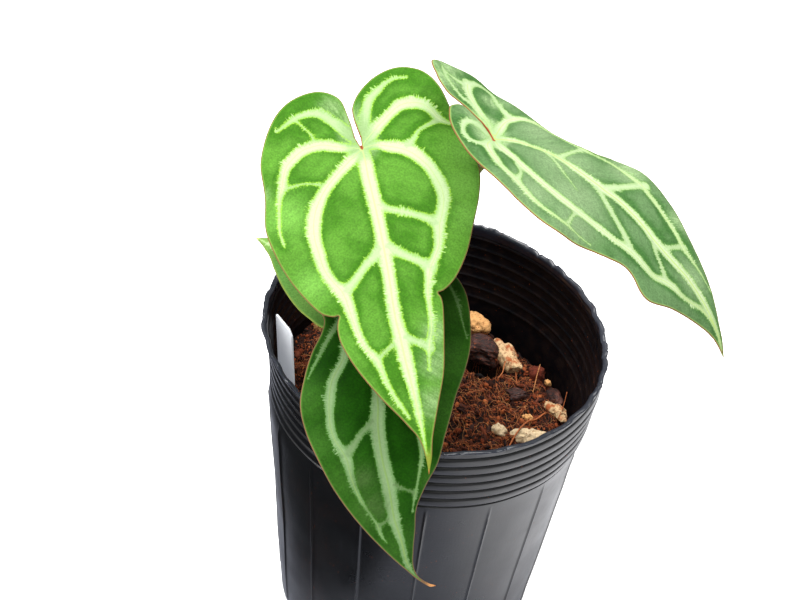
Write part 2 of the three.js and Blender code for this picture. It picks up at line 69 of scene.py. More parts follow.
# Floor and light
# A wide pale floor under a white sky. One big soft light hangs over the plant, a little behind
# it and to the right. Two weaker ones hang to the front left, one of them nearer the side.

def paint(red, green, blue):
    """A colour as the eye reads it, 0 to 255, turned into the values that shaders take."""
    shares = [part / 255 for part in (red, green, blue)]
    return (*[p / 12.92 if p <= 0.04045 else ((p + 0.055) / 1.055) ** 2.4 for p in shares], 1)


def node(tree, kind, inputs=(), **settings):
    """Adds a shader node. Each input is a plain value, or a socket to link from."""
    made = tree.nodes.new("ShaderNode" + kind)
    for name, value in settings.items():
        setattr(made, name, value)
    for name, value in dict(inputs).items():
        if isinstance(value, bpy.types.NodeSocket):
            tree.links.new(value, made.inputs[name])
        else:
            made.inputs[name].default_value = value
    return made


def finish_of(name, settings):
    """A new material and its nodes, with settings on its Principled shader's own sockets."""
    material = bpy.data.materials.new(name)
    material.use_nodes = True
    tree = material.node_tree
    for socket, value in settings.items():
        tree.nodes["Principled BSDF"].inputs[socket].default_value = value
    return material, tree


def coat(tree, sources, relief=None, strength=0.0, depth=0.0):
    """Links each source to the shader's socket of that name, and a relief through a bump."""
    if relief is not None:
        bump = node(tree, "Bump", {"Height": relief, "Strength": strength, "Distance": depth})
        sources = {**sources, "Normal": bump.outputs["Normal"]}
    for socket, source in sources.items():
        tree.links.new(source, tree.nodes["Principled BSDF"].inputs[socket])


def speckle(tree, where, scale, detail=2.0, roughness=0.5):
    """Noise from 0 to 1 over the surface."""
    return node(tree, "TexNoise", {"Vector": where, "Scale": scale, "Detail": detail,
                                   "Roughness": roughness}).outputs["Fac"]


def between(tree, value, low, high, to_low=0.0, to_high=1.0):
    """Passes smoothly from to_low to to_high as value goes from low to high."""
    return node(tree, "MapRange", {"Value": value, "From Min": low, "From Max": high, "To Min": to_low,
                                   "To Max": to_high}, interpolation_type="SMOOTHSTEP").outputs["Result"]


def maths(tree, operation, first, second=0.0):
    return node(tree, "Math", {0: first, 1: second}, operation=operation).outputs[0]


def mixed(tree, amount, first, second, kind="MIX"):
    return node(tree, "Mix", {0: amount, 6: first, 7: second}, data_type="RGBA",
                blend_type=kind).outputs[2]


def object_place(tree):
    return node(tree, "TexCoord").outputs["Object"]


def marked(tree, name):
    """What the mesh's own mark of that name says at each point."""
    return node(tree, "Attribute", attribute_name=name).outputs["Fac"]


floor_size = 6.0
bpy.ops.mesh.primitive_plane_add(size=floor_size)
floor = bpy.context.object
floor.name = "floor"
floor_finish, tree = finish_of("pale_floor", {
    "Roughness": 0.9, "Specular IOR Level": 0.2, "Emission Strength": 0.35})
place = object_place(tree)
spot = node(tree, "SeparateXYZ", {0: place}).outputs
pale = mixed(tree, speckle(tree, place, 3.0), paint(236, 236, 236), paint(240, 240, 240))
# Painted reflections: only glossy rays see a grey patch in front of the pot and a black one, set slanting,
# to its left.
painted_reflection = mixed(tree, between(tree, spot["X"], 0.02, 0.1), paint(144, 147, 158), paint(215, 215, 218))
slant = maths(tree, "ADD", spot["X"], maths(tree, "MULTIPLY", spot["Y"], 0.6))
painted_reflection = mixed(tree, between(tree, slant, -0.062, -0.083), painted_reflection, paint(14, 15, 18))
mirrored = node(tree, "LightPath").outputs["Is Glossy Ray"]
shown = mixed(tree, mirrored, pale, painted_reflection)
coat(tree, {"Base Color": shown, "Emission Color": shown})
floor.data.materials.append(floor_finish)

sky = bpy.data.worlds.new("sky")
sky.use_nodes = True
sky.node_tree.nodes["Background"].inputs["Color"].default_value = (1, 1, 1, 1)
seen = node(sky.node_tree, "LightPath").outputs["Is Camera Ray"]
sky.node_tree.links.new(between(sky.node_tree, seen, 0.0, 1.0, 0.5, 1.0),
                        sky.node_tree.nodes["Background"].inputs["Strength"])
bpy.context.scene.world = sky
bpy.context.scene.view_settings.view_transform = "Standard"

lights_aim = Vector((0, 0, 0.12))


def soft_light(name, place, size, power):
    """A square lamp, size metres across, that points at the plant."""
    data = bpy.data.lights.new(name, "AREA")
    data.size = size
    data.energy = power
    light = bpy.data.objects.new(name, data)
    light.location = place
    light.rotation_euler = (lights_aim - Vector(place)).to_track_quat("-Z", "Y").to_euler()
    bpy.context.collection.objects.link(light)


soft_light("key_light", (0.1, 0.2, 1.4), 0.95, 34)
soft_light("front_light", (-0.5, -0.8, 1.3), 0.9, 23)
soft_light("side_light", (-0.75, -0.55, 1.35), 0.6, 12)


# Pot
# A soft grower's pot blown from thin black polyethylene: seven ribs stiffen its flared lip, and
# sixteen fine upright ridges run down the wall. It stands a little oval and its cut lip is nicked.

pot_height, lip_radius, lip_drop = 132, 60, 3.5
wall_radius, wall_taper, wall_thickness, floor_thickness = 59.1, 0.1017, 0.9, 1.3
rib_count, rib_pitch, rib_depth = 7, 4.2, 0.7
ridge_count, ridge_angle, ridge_height, columns_per_ridge = 16, math.radians(-84.8), 0.45, 30
ridge_foot, ridge_head = 7, 99
tear_count = 120
oval_amount, oval_angle = 0.021, math.radians(127)
drain_holes, drain_hole_radius, drain_circle, drain_hole_sides = 8, 4, 30, 24

scramble = np.array([73856093, 19349663, 83492791])


def lumpiness(points, size, seed):
    """Soft noise, about -1 to 1, whose lumps are size millimetres across."""
    scaled = np.asarray(points, float) / size + 37.7 * (seed + 1)
    cell = np.floor(scaled).astype(np.int64)
    part = scaled - cell
    part = part ** 3 * (part * (part * 6 - 15) + 10)
    total = np.zeros(len(scaled))
    for corner in product((0, 1), repeat=3):
        mark = np.bitwise_xor.reduce((cell + corner) * scramble, axis=1)
        mark = (mark ^ (mark >> 13)) * 1274126177
        mark = ((mark ^ (mark >> 16)) & 0xFFFFFF) / 0x7FFFFF - 1
        total += mark * np.prod(np.where(corner, part, 1 - part), axis=1)
    return total


def made_piece(name, points, face_lists, finishes, replaced=(), marks=None, sharp=None):
    """Makes a shaded piece from points in millimetres, hangs it on the root body and hides the CAD parts it
    replaces.
    """
    mesh = bpy.data.meshes.new(name)
    corners = np.concatenate([np.asarray(f).ravel() for f in face_lists])
    sizes = np.concatenate([np.full(len(f), np.asarray(f).shape[1]) for f in face_lists])
    mesh.vertices.add(len(points))
    mesh.vertices.foreach_set("co", (np.asarray(points) * 0.001).ravel())
    mesh.loops.add(len(corners))
    mesh.loops.foreach_set("vertex_index", corners)
    mesh.polygons.add(len(sizes))
    mesh.polygons.foreach_set("loop_start", np.concatenate([[0], np.cumsum(sizes)[:-1]]))
    mesh.update(calc_edges=True)
    mesh.validate()
    mesh.shade_smooth()
    if sharp:
        mesh.set_sharp_from_angle(angle=math.radians(sharp))
    for mark, values in (marks or {}).items():
        mesh.attributes.new(mark, "FLOAT", "POINT").data.foreach_set("value", values)
    for material in finishes:
        mesh.materials.append(material)
    piece = bpy.data.objects.new(name, mesh)
    bpy.context.collection.objects.link(piece)
    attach(piece, "root")
    if replaced:
        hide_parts(*replaced)
    return piece


def oval_at(angle, z):
    return 1 + oval_amount * np.cos(2 * (angle - oval_angle)) * z / pot_height


def wall_radius_at(z):
    return wall_radius - wall_taper * (pot_height - z)


ribs_from = pot_height - rib_count * rib_pitch


def rib_relief(z):
    """How far the ribbed wall stands out: broad round ribs with narrow grooves between them."""
    step = (z - ribs_from) / rib_pitch
    part = step - np.floor(step)
    groove = np.minimum(part, 1 - part) * rib_pitch
    ribbed = 0.25 * np.sin(np.pi * part) ** 0.6 - rib_depth * np.exp(-(groove / 0.42) ** 2)
    return np.where((step < -0.2) | (z > pot_height - 1.5), 0, ribbed)


rib_parts = np.array([0, 0.06, 0.12, 0.2, 0.35, 0.5, 0.65, 0.8, 0.88, 0.94])
rib_levels = (ribs_from + rib_pitch * (np.arange(rib_count)[:, None] + rib_parts)).ravel()
rib_levels = np.concatenate([[ribs_from - 0.5, ribs_from - 0.25], rib_levels[rib_levels < 130.4]])
plain_levels = np.concatenate([[4, 6, 8], np.arange(12, 100, 4.0), [99.5, 101]])
outside_levels = np.concatenate([plain_levels, rib_levels])
inside_levels = np.concatenate([[1.8, 2.4, 4], np.arange(8, 100, 5.0), [99.5], rib_levels])[::-1]
profile = [(wall_radius_at(0) - 3.5, 0), (wall_radius_at(0) - 1.9, 0.3), (wall_radius_at(0) - 1, 1),
           (wall_radius_at(2.4) - 0.3, 2.4)]
profile += [(wall_radius_at(z) + rib_relief(z), z) for z in outside_levels]
outside_rows = len(profile)
profile += [(59.25, 130.7), (59.75, 131.1), (60, 131.5), (59.9, 131.8), (59.5, 132), (59.0, 131.9),
            (58.5, 131.6), (58.1, 131.1)]
profile += [(wall_radius_at(z) - wall_thickness + 0.45 * rib_relief(z), z) for z in inside_levels]
profile += [(wall_radius_at(0) - wall_thickness - 1.4, 1.45), (wall_radius_at(0) - 3.6, 1.3)]
profile = np.array(profile)

steps = np.arange(ridge_count * columns_per_ridge) / columns_per_ridge
part = steps - np.floor(steps)
ridge_turn = 2 * np.pi / ridge_count
column_angles = ridge_angle + (steps - 0.6 * np.sin(2 * np.pi * part) / (2 * np.pi)) * ridge_turn
columns = len(column_angles)
radius, height = [np.repeat(values[:, None], columns, axis=1) for values in profile.T]
angle = np.repeat(column_angles[None, :], len(profile), axis=0)
beside_ridge = (part - np.round(part)) * ridge_turn * 0.4 * radius
on_wall = (np.arange(len(profile)) < outside_rows)[:, None] & (height > ridge_foot) & (height < ridge_head)
radius = radius + np.where(on_wall, ridge_height * np.exp(-(beside_ridge / 0.34) ** 2), 0)
radius = radius * oval_at(angle, height)
ring = np.stack([radius * np.cos(angle), radius * np.sin(angle), height], axis=-1).reshape(-1, 3)
lip_part = np.clip((ring[:, 2] - (pot_height - lip_drop)) / lip_drop, 0, 1)
around = angle.ravel()
film = 0.3 * lumpiness(ring, 34, 1) * np.clip(ring[:, 2] / 30, 0, 1) + 0.12 * lumpiness(ring, 9, 2)
film += lip_part * (0.3 * np.sin(31 * around + 2 * np.sin(3 * around)) + 0.15 * lumpiness(ring, 2.2, 3))
# Where round the lip each small tear is, half its width, and its depth.
rng = np.random.default_rng(5)
tears = [rng.uniform(low, high, tear_count) for low, high in ((-np.pi, np.pi), (0.9, 2.4), (0.2, 0.9))]
torn = np.zeros(len(ring))
for at, half, depth in zip(*tears):
    off = ((around - at + np.pi) % (2 * np.pi) - np.pi) * lip_radius
    torn = np.maximum(torn, depth * np.clip(1 - np.where(off > 0, off / half, -off / (0.45 * half)), 0, 1))
film -= lip_part ** 2 * 0.6 * torn
film += 1.1 * np.cos(around) * np.clip((ring[:, 2] - 98) / 9, 0, 1) * np.clip((131 - ring[:, 2]) / 8, 0, 1)
ring[:, :2] *= (1 + film / np.hypot(ring[:, 0], ring[:, 1]))[:, None]
nicks = 0.3 + 0.2 * np.sin(5 * around) + 0.12 * np.sin(13 * around + 1)
from_above = ring * [1, 1, 0]
nicks += 0.35 * np.clip(lumpiness(from_above, 2.6, 4), -0.2, 1) + 0.12 * lumpiness(from_above, 1.1, 5)
raised = 1.7 * np.exp(-((around - 1.5) / 0.42) ** 2)
ring[:, 2] += lip_part ** 2 * (raised - np.maximum(nicks, 0) - 0.7 * torn)

grid = np.arange(len(ring)).reshape(len(profile), columns)
beside = np.roll(grid, -1, axis=1)
pot_walls = np.stack([grid[:-1], beside[:-1], beside[1:], grid[1:]], axis=-1).reshape(-1, 4)


def filled(outline_points, holes):
    """Triangles that fill an outline but leave its holes open, by the numbers of the points."""
    loops, first = [], 0
    for loop in [outline_points, *holes]:
        loops += [(first + i, first + (i + 1) % len(loop)) for i in range(len(loop))]
        first += len(loop)
    flat = np.concatenate([outline_points, *holes])
    _, _, faces, sources, _, _ = geometry.delaunay_2d_cdt([Vector(p) for p in flat], loops, [], 0, 1e-6)
    faces = np.array([[sources[i][0] for i in face] for face in faces])
    middle = flat[faces].mean(axis=1)
    keep = inside_outline(middle, outline_points)
    for hole in holes:
        keep &= ~inside_outline(middle, hole)
    return faces[keep]


def inside_outline(points, outline):
    """True for each point that lies inside a closed outline."""
    after = np.roll(outline, -1, axis=0)
    crossed = np.zeros(len(points), int)
    for (x0, y0), (x1, y1) in zip(outline, after):
        if y0 != y1:
            spans = (points[:, 1] > min(y0, y1)) & (points[:, 1] <= max(y0, y1))
            crossed += spans & (points[:, 0] < x0 + (points[:, 1] - y0) * (x1 - x0) / (y1 - y0))
    return crossed % 2 == 1


turns = np.arange(drain_hole_sides) * 2 * np.pi / drain_hole_sides
holes = []
for hole in range(drain_holes):
    at = (hole + 0.5) * 2 * np.pi / drain_holes
    holes.append(np.stack([drain_circle * np.cos(at) + drain_hole_radius * np.cos(turns),
                           drain_circle * np.sin(at) + drain_hole_radius * np.sin(turns)], axis=1))
hole_points = np.concatenate(holes)
below, above = len(ring), len(ring) + len(hole_points)
under = filled(ring[grid[0], :2], holes)
over = filled(ring[grid[-1], :2], holes)
numbers_under = np.concatenate([grid[0], below + np.arange(len(hole_points))])
numbers_over = np.concatenate([grid[-1], above + np.arange(len(hole_points))])
hole_walls = []
for hole in range(drain_holes):
    for i in range(drain_hole_sides):
        a, b = hole * drain_hole_sides + i, hole * drain_hole_sides + (i + 1) % drain_hole_sides
        hole_walls.append((below + a, below + b, above + b, above + a))
pot_points = np.concatenate([
    ring, np.column_stack([hole_points, np.zeros(len(hole_points))]),
    np.column_stack([hole_points, np.full(len(hole_points), floor_thickness)])])
inside = np.zeros(len(pot_points))
inside[grid[outside_rows + 10:].ravel()] = 1
inside[above:] = 1
# The lip mark: the rows over the top of the lip and the band just inside it, where a blue-grey highlight is
# painted.
lip = np.zeros(len(pot_points))
lip_rows = profile[:, 1] > 128.7
lip_rows[:outside_rows] = False
lip[grid[lip_rows].ravel()] = 1


def soil_dust():
    """A node group: specks and smears of fine brown soil. It puts out how much lies where."""
    group = bpy.data.node_groups.new("soil_dust", "ShaderNodeTree")
    group.interface.new_socket("Amount", in_out="INPUT", socket_type="NodeSocketFloat")
    group.interface.new_socket("Dust", in_out="OUTPUT", socket_type="NodeSocketFloat")
    entry, leaving = group.nodes.new("NodeGroupInput"), group.nodes.new("NodeGroupOutput")
    place = object_place(group)
    specks = speckle(group, place, 1500, 1, 0.4)
    patches = speckle(group, place, 45, 3)
    bar = maths(group, "SUBTRACT", 0.9, maths(group, "MULTIPLY", entry.outputs["Amount"], 0.2))
    bar = maths(group, "SUBTRACT", bar, maths(group, "MULTIPLY", patches, 0.14))
    grains = between(group, maths(group, "SUBTRACT", specks, bar), 0.0, 0.02)
    film = maths(group, "MULTIPLY", between(group, patches, 0.5, 0.8),
                 maths(group, "MULTIPLY", entry.outputs["Amount"], 0.08))
    group.links.new(maths(group, "MAXIMUM", grains, film), leaving.inputs["Dust"])
    return group


dust_group = soil_dust()


def dust_on(tree, amount):
    return node(tree, "Group", {"Amount": amount}, node_tree=dust_group).outputs["Dust"]


pot_finish, tree = finish_of("black_polyethylene", {"IOR": 1.52, "Specular IOR Level": 0.5})
place = object_place(tree)
drag = node(tree, "Mapping", {"Vector": place, "Scale": (260, 260, 14)}).outputs["Vector"]
scuffs = speckle(tree, drag, 1.0, 3, 0.6)
clouds = speckle(tree, place, 38, 3, 0.55)
film_colour = mixed(tree, clouds, paint(3, 4, 6), paint(8, 9, 12))
film_colour = mixed(tree, between(tree, scuffs, 0.62, 0.8, 0, 0.25), film_colour, paint(36, 37, 43))
# Painted highlight: the top of the lip is coloured a lighter blue-grey, as if it caught the light.
film_colour = mixed(tree, marked(tree, "lip"), film_colour, paint(27, 30, 40))
dust = dust_on(tree, 0.3)
film_colour = mixed(tree, dust, film_colour, paint(104, 58, 36))
gloss = between(tree, clouds, 0.3, 0.7, 0.27, 0.4)
gloss = maths(tree, "ADD", gloss, maths(tree, "MULTIPLY", dust, 0.4))
grain = maths(tree, "ADD", speckle(tree, place, 1500, 2), maths(tree, "MULTIPLY", scuffs, 1.5))
coat(tree, {"Base Color": film_colour, "Roughness": gloss}, grain, 0.12, 0.0002)

inner_finish, tree = finish_of("soiled_polyethylene_painted_lip_highlight", {"Specular IOR Level": 0.12})
place = object_place(tree)
smears = speckle(tree, place, 240, 4, 0.7)
soil_and_lip_highlight = mixed(tree, between(tree, smears, 0.4, 0.75), paint(5, 5, 10), paint(28, 17, 15))
# Painted highlight: the band just inside the lip is a light blue-grey, as if its flare caught the sky.
soil_and_lip_highlight = mixed(tree, between(tree, marked(tree, "lip"), 0.1, 0.6), soil_and_lip_highlight, paint(84, 92, 112))
soil_and_lip_highlight = mixed(tree, dust_on(tree, 0.4), soil_and_lip_highlight, paint(104, 52, 28))
coat(tree, {"Base Color": soil_and_lip_highlight, "Roughness": between(tree, smears, 0.3, 0.7, 0.45, 0.7)})

pot_faces = [pot_walls, numbers_under[under][:, ::-1], numbers_over[over], np.array(hole_walls)]
shell = made_piece("pot_shell", pot_points, pot_faces, [pot_finish, inner_finish], ["pot"],
                   {"lip": lip}, sharp=50)
is_inside = np.concatenate([inside[faces].min(axis=1) for faces in pot_faces])
shell.data.polygons.foreach_set("material_index", is_inside.astype(int))


# Potting mix
# Packed coir pith, fibre and fine bark. Its top slopes down from the left and crowns a little in
# the middle. Loose crumbs, flakes and threads of coir lie all over it.

mix_level, mix_slope, mound_height, mound_radius = 94, 0.085, 5, 56
mix_reach, mix_gap_from, mix_gap_depth = 58, 47, 5
crown_place, crown_clearance = (-8, 4), 7.5
husk_hollow, hollow_depth = (19, 23.3), 13


def mix_top(x, y):
    """How high the top of the mix lies, without its clods and crumbs."""
    mound = mound_height * (1 - (x * x + y * y) / mound_radius ** 2)
    waves = 0.7 * np.sin(0.62 * x + 1.3) * np.cos(0.55 * y - 0.4)
    return mix_level - mix_slope * x + mound + waves + 0.5 * np.sin(0.9 * x - 1.1 * y)


def in_hollow(x, y, half_length, half_width):
    """From 1 in the middle of the hollow under the big husk to 0 at its edge, and less outside."""
    return 1 - ((x - husk_hollow[0]) / half_length) ** 2 - ((y - husk_hollow[1]) / half_width) ** 2


def mix_surface(x, y):
    """The top with its clods, the hollow under the big husk and the gap beside the wall."""
    flat = np.stack([x, y, np.zeros_like(x)], axis=1)
    z = mix_top(x, y) + 0.9 * lumpiness(flat, 6, 11) + 0.7 * lumpiness(flat, 2.7, 12)
    z += 0.45 * lumpiness(flat, 1.3, 13) - 0.6
    hollow = np.clip(in_hollow(x, y, 8.6, 5.6), 0, 1)
    gap = np.clip((np.hypot(x, y) - mix_gap_from) / 3, 0, 1)
    gap *= np.clip(1.6 * np.cos(np.arctan2(y, x) - 0.65) - 0.7, 0, 1)
    return z - hollow_depth * np.sqrt(hollow) - mix_gap_depth * gap


def mix_edge(angle, z):
    """How far the mix reaches out to the wall."""
    return (wall_radius_at(z) - wall_thickness - 0.3) * oval_at(angle, z)


rim_turns = np.linspace(0, 2 * np.pi, 520, endpoint=False)
rim = np.stack([np.cos(rim_turns), np.sin(rim_turns)], axis=1) * mix_edge(rim_turns, mix_level)[:, None]
lattice = np.arange(-mix_reach, mix_reach, 0.62)
cells = np.stack(np.meshgrid(lattice, lattice), axis=-1).reshape(-1, 2)
reach = np.hypot(cells[:, 0], cells[:, 1])
cells = cells[reach < mix_edge(np.arctan2(cells[:, 1], cells[:, 0]), mix_level) - 0.5]
rng = np.random.default_rng(7)
cells += rng.uniform(-0.15, 0.15, cells.shape)
flat = np.concatenate([rim, cells])
_, _, top_faces, _, _, _ = geometry.delaunay_2d_cdt([Vector(p) for p in flat], [], [], 0, 1e-6)
top_faces = np.array(top_faces)
mix_points = [np.column_stack([flat, mix_surface(flat[:, 0], flat[:, 1])])]
mix_faces = [top_faces]
upper = np.arange(len(rim))
count = len(flat)
for z in (88, 60, 30, 3):
    edge = mix_edge(rim_turns, z) - 0.5
    mix_points.append(np.column_stack([np.cos(rim_turns) * edge, np.sin(rim_turns) * edge,
                                       np.full(len(rim), z)]))
    lower = count + np.arange(len(rim))
    mix_faces.append(np.stack([upper, lower, np.roll(lower, -1), np.roll(upper, -1)], axis=1))
    upper, count = lower, count + len(rim)
mix_points.append([[0, 0, 1.6]])
mix_faces.append(np.stack([np.roll(upper, -1), upper, np.full(len(rim), count)], axis=1))

mix_finish, tree = finish_of("coir_mix", {"Specular IOR Level": 0.2})
place = object_place(tree)
crumbs = speckle(tree, place, 700, 4, 0.65)
damp = speckle(tree, place, 55, 3)
pith = mixed(tree, between(tree, crumbs, 0.3, 0.7), paint(12, 6, 5), paint(62, 28, 15))
pith = mixed(tree, between(tree, damp, 0.4, 0.65), pith, paint(24, 12, 8))
damp_gloss = between(tree, damp, 0.4, 0.65, 0.95, 0.75)
coat(tree, {"Base Color": pith, "Roughness": damp_gloss}, crumbs, 0.9, 0.0009)
made_piece("mix_body", np.concatenate(mix_points), mix_faces, [mix_finish], ["potting_mix"])


def on_mix(count, seed, margin=1.0):
    """Places spread over the mix, clear of the crown and the hollow, and draws for the rest."""
    draws = np.random.default_rng(seed)
    x, y = draws.uniform(-mix_reach, mix_reach, (2, count * 3))
    fits = np.hypot(x, y) < mix_edge(np.arctan2(y, x), mix_level) - margin
    fits &= np.hypot(x - crown_place[0], y - crown_place[1]) > crown_clearance
    fits &= in_hollow(x, y, 8.2, 5.2) < 0
    x, y = x[fits][:count], y[fits][:count]
    return x, y, mix_surface(x, y), draws


def turned_about(draws, count):
    """Random rotations, one 3 by 3 matrix each."""
    q = draws.normal(size=(count, 4))
    w, x, y, z = (q / np.linalg.norm(q, axis=1)[:, None]).T
    return np.stack([
        1 - 2 * (y * y + z * z), 2 * (x * y - w * z), 2 * (x * z + w * y),
        2 * (x * y + w * z), 1 - 2 * (x * x + z * z), 2 * (y * z - w * x),
        2 * (x * z - w * y), 2 * (y * z + w * x), 1 - 2 * (x * x + y * y)], axis=1).reshape(-1, 3, 3)


golden = (1 + 5 ** 0.5) / 2
signs = list(product((-1, 1), repeat=2))
ico_points = np.array([(0, s, t * golden) for s, t in signs] + [(s, t * golden, 0) for s, t in signs]
                      + [(t * golden, 0, s) for s, t in signs])
ico_points /= np.linalg.norm(ico_points[0])
ico_faces = np.array([
    face for face in product(range(12), repeat=3)
    if face[0] == min(face) and len(set(face)) == 3
    and all(np.linalg.norm(ico_points[a] - ico_points[b]) < 1.1 for a, b in zip(face, face[1:] + face[:1]))
    and np.linalg.det(ico_points[list(face)]) > 0])


def scattered(name, count, seed, sizes, finish, sink=0.3):
    """One piece of many small uneven grains that lie on the mix, each with a tone of its own."""
    x, y, z, draws = on_mix(count, seed)
    count = len(x)
    size = np.array(sizes) * np.exp(draws.normal(0, 0.45, (count, 1)))
    shapes = ico_points[None] * (1 + draws.uniform(-0.3, 0.3, (count, 12, 1))) * size[:, None, :]
    shapes = np.einsum("nij,nkj->nki", turned_about(draws, count), shapes)
    lift = size.min(axis=1) * (1 - 2 * sink)
    shapes += np.stack([x, y, z + lift], axis=1)[:, None]
    faces = (ico_faces[None] + 12 * np.arange(count)[:, None, None]).reshape(-1, 3)
    tones = np.repeat(draws.uniform(0, 1, count), 12)
    return made_piece(name, shapes.reshape(-1, 3), [faces], [finish], marks={"tone": tones})


def toned_finish(name, stops, settings, grain=1400):
    """A rough finish whose colour runs through stops by each grain's tone, with a fine mottle."""
    material, tree = finish_of(name, settings)
    mottle = speckle(tree, object_place(tree), grain, 3, 0.6)
    tone = marked(tree, "tone")
    colour, step = paint(*stops[0]), 1 / (len(stops) - 1)
    for i, stop in enumerate(stops[1:]):
        colour = mixed(tree, between(tree, tone, i * step, (i + 1) * step), colour, paint(*stop))
    shade = node(tree, "CombineColor", {channel: between(tree, mottle, 0.25, 0.75, 0.6, 1.25)
                                        for channel in ("Red", "Green", "Blue")}).outputs["Color"]
    coat(tree, {"Base Color": mixed(tree, 1.0, colour, shade, "MULTIPLY")}, mottle, 0.6, 0.0003)
    return material


crumb_finish = toned_finish("coir_crumbs", [(18, 9, 7), (68, 30, 16), (112, 50, 26), (156, 84, 46)],
                            {"Roughness": 0.95, "Specular IOR Level": 0.2})
scattered("mix_crumbs", 9000, 21, (0.46, 0.34, 0.3), crumb_finish)
scattered("mix_clods", 150, 22, (1.1, 0.9, 0.7), crumb_finish, sink=0.5)
flake_finish = toned_finish("bark_flakes", [(14, 8, 8), (52, 23, 15), (114, 54, 30)],
                            {"Roughness": 0.85, "Specular IOR Level": 0.3}, grain=900)
scattered("bark_flakes", 1500, 23, (1.1, 0.45, 0.16), flake_finish, sink=0.1)


def rod(centres, radii, sides):
    """The points and faces of a round rod along centres, closed at both ends."""
    centres = np.asarray(centres, float)
    tangent = np.gradient(centres, axis=0)
    tangent /= np.linalg.norm(tangent, axis=1)[:, None]
    aside = np.array([0.31, 0.17, 0.93]) if abs(tangent[:, 2]).mean() < 0.6 else np.array([1.0, 0, 0])
    across = aside - tangent * (tangent @ aside)[:, None]
    across /= np.linalg.norm(across, axis=1)[:, None]
    third = np.cross(tangent, across)
    turn = np.arange(sides) * 2 * np.pi / sides
    radii = np.broadcast_to(np.asarray(radii, float), (len(centres),))
    rings = centres[:, None] + radii[:, None, None] * (
        np.cos(turn)[None, :, None] * across[:, None] + np.sin(turn)[None, :, None] * third[:, None])
    number = np.arange(len(centres) * sides).reshape(len(centres), sides)
    after = np.roll(number, -1, axis=1)
    walls = np.stack([number[:-1], after[:-1], after[1:], number[1:]], axis=-1).reshape(-1, 4)
    first, last = len(centres) * sides, len(centres) * sides + 1
    caps = np.concatenate([
        np.stack([after[0], number[0], np.full(sides, first)], axis=1),
        np.stack([number[-1], after[-1], np.full(sides, last)], axis=1)])
    points = np.concatenate([rings.reshape(-1, 3), centres[:1], centres[-1:]])
    return points, walls, caps


def bundle(name, strands, tones, finish, sides):
    """One piece of many rods. Each strand is its centres and its radius, and has a tone."""
    points, walls, caps, tone_marks, count = [], [], [], [], 0
    for (centres, radius), tone in zip(strands, tones):
        strand_points, strand_walls, strand_caps = rod(centres, radius, sides)
        points.append(strand_points)
        walls.append(strand_walls + count)
        caps.append(strand_caps + count)
        tone_marks.append(np.full(len(strand_points), tone))
        count += len(strand_points)
    made_piece(name, np.concatenate(points), [np.concatenate(walls), np.concatenate(caps)],
               [finish], marks={"tone": np.concatenate(tone_marks)})


thread_limit, thread_stops = 50.5, 9


def coir_threads(count, seed):
    """Threads that wander over the mix, each a gentle curl that lifts off a little."""
    x, y, _, draws = on_mix(count, seed, margin=4)
    strands = []
    for x0, y0 in zip(x, y):
        length = draws.uniform(2, 9)
        heading = draws.uniform(0, 2 * np.pi)
        curl = draws.normal(0, 1.1)
        part = np.linspace(0, 1, thread_stops)
        way = heading + curl * part + 0.5 * np.sin(part * draws.uniform(2, 8))
        px = x0 + np.cumsum(np.cos(way)) * length / thread_stops
        py = y0 + np.cumsum(np.sin(way)) * length / thread_stops
        limit = thread_limit / np.maximum(np.hypot(px, py), thread_limit)
        px, py = px * limit, py * limit
        lift = 0.3 + draws.uniform(0.1, 1.0) * np.sin(np.pi * part) ** 2
        strands.append((np.stack([px, py, mix_surface(px, py) + lift], axis=1), draws.uniform(0.05, 0.1)))
    return strands, draws.uniform(0, 1, len(strands))


thread_finish = toned_finish("coir_threads", [(84, 36, 18), (134, 64, 31), (172, 94, 48), (194, 132, 78)],
                             {"Roughness": 0.7, "Specular IOR Level": 0.4}, grain=2500)
strands, tones = coir_threads(3600, 31)
bundle("coir_threads", strands, tones, thread_finish, 3)


def curve_through(points, samples=24):
    """Points along the smooth curve that passes through the given ones."""
    p = np.array(points, float)
    p = np.vstack([2 * p[0] - p[1], p, 2 * p[-1] - p[-2]])
    t = np.linspace(0, 1, samples, endpoint=False)[:, None]
    line = []
    for a, b, c, d in zip(p[:-3], p[1:-2], p[2:-1], p[3:]):
        ab, bc, cd = [max(np.linalg.norm(q) ** 0.5, 1e-6) for q in (b - a, c - b, d - c)]
        start = ((b - a) / ab - (c - a) / (ab + bc) + (c - b) / bc) * bc
        end = ((c - b) / bc - (d - b) / (bc + cd) + (d - c) / cd) * bc
        line.append(b + start * t + (3 * (c - b) - 2 * start - end) * t ** 2
                    + (2 * (b - c) + start + end) * t ** 3)
    return np.vstack([*line, p[-2:-1]])


def evenly(line, step):
    """The same line with its points about step apart, and how far along each one is."""
    run = np.concatenate([[0], np.cumsum(np.linalg.norm(np.diff(line, axis=0), axis=1))])
    stops = np.linspace(0, run[-1], max(2, int(round(run[-1] / step)) + 1))
    return np.stack([np.interp(stops, run, line[:, i]) for i in range(line.shape[1])], axis=1), stops


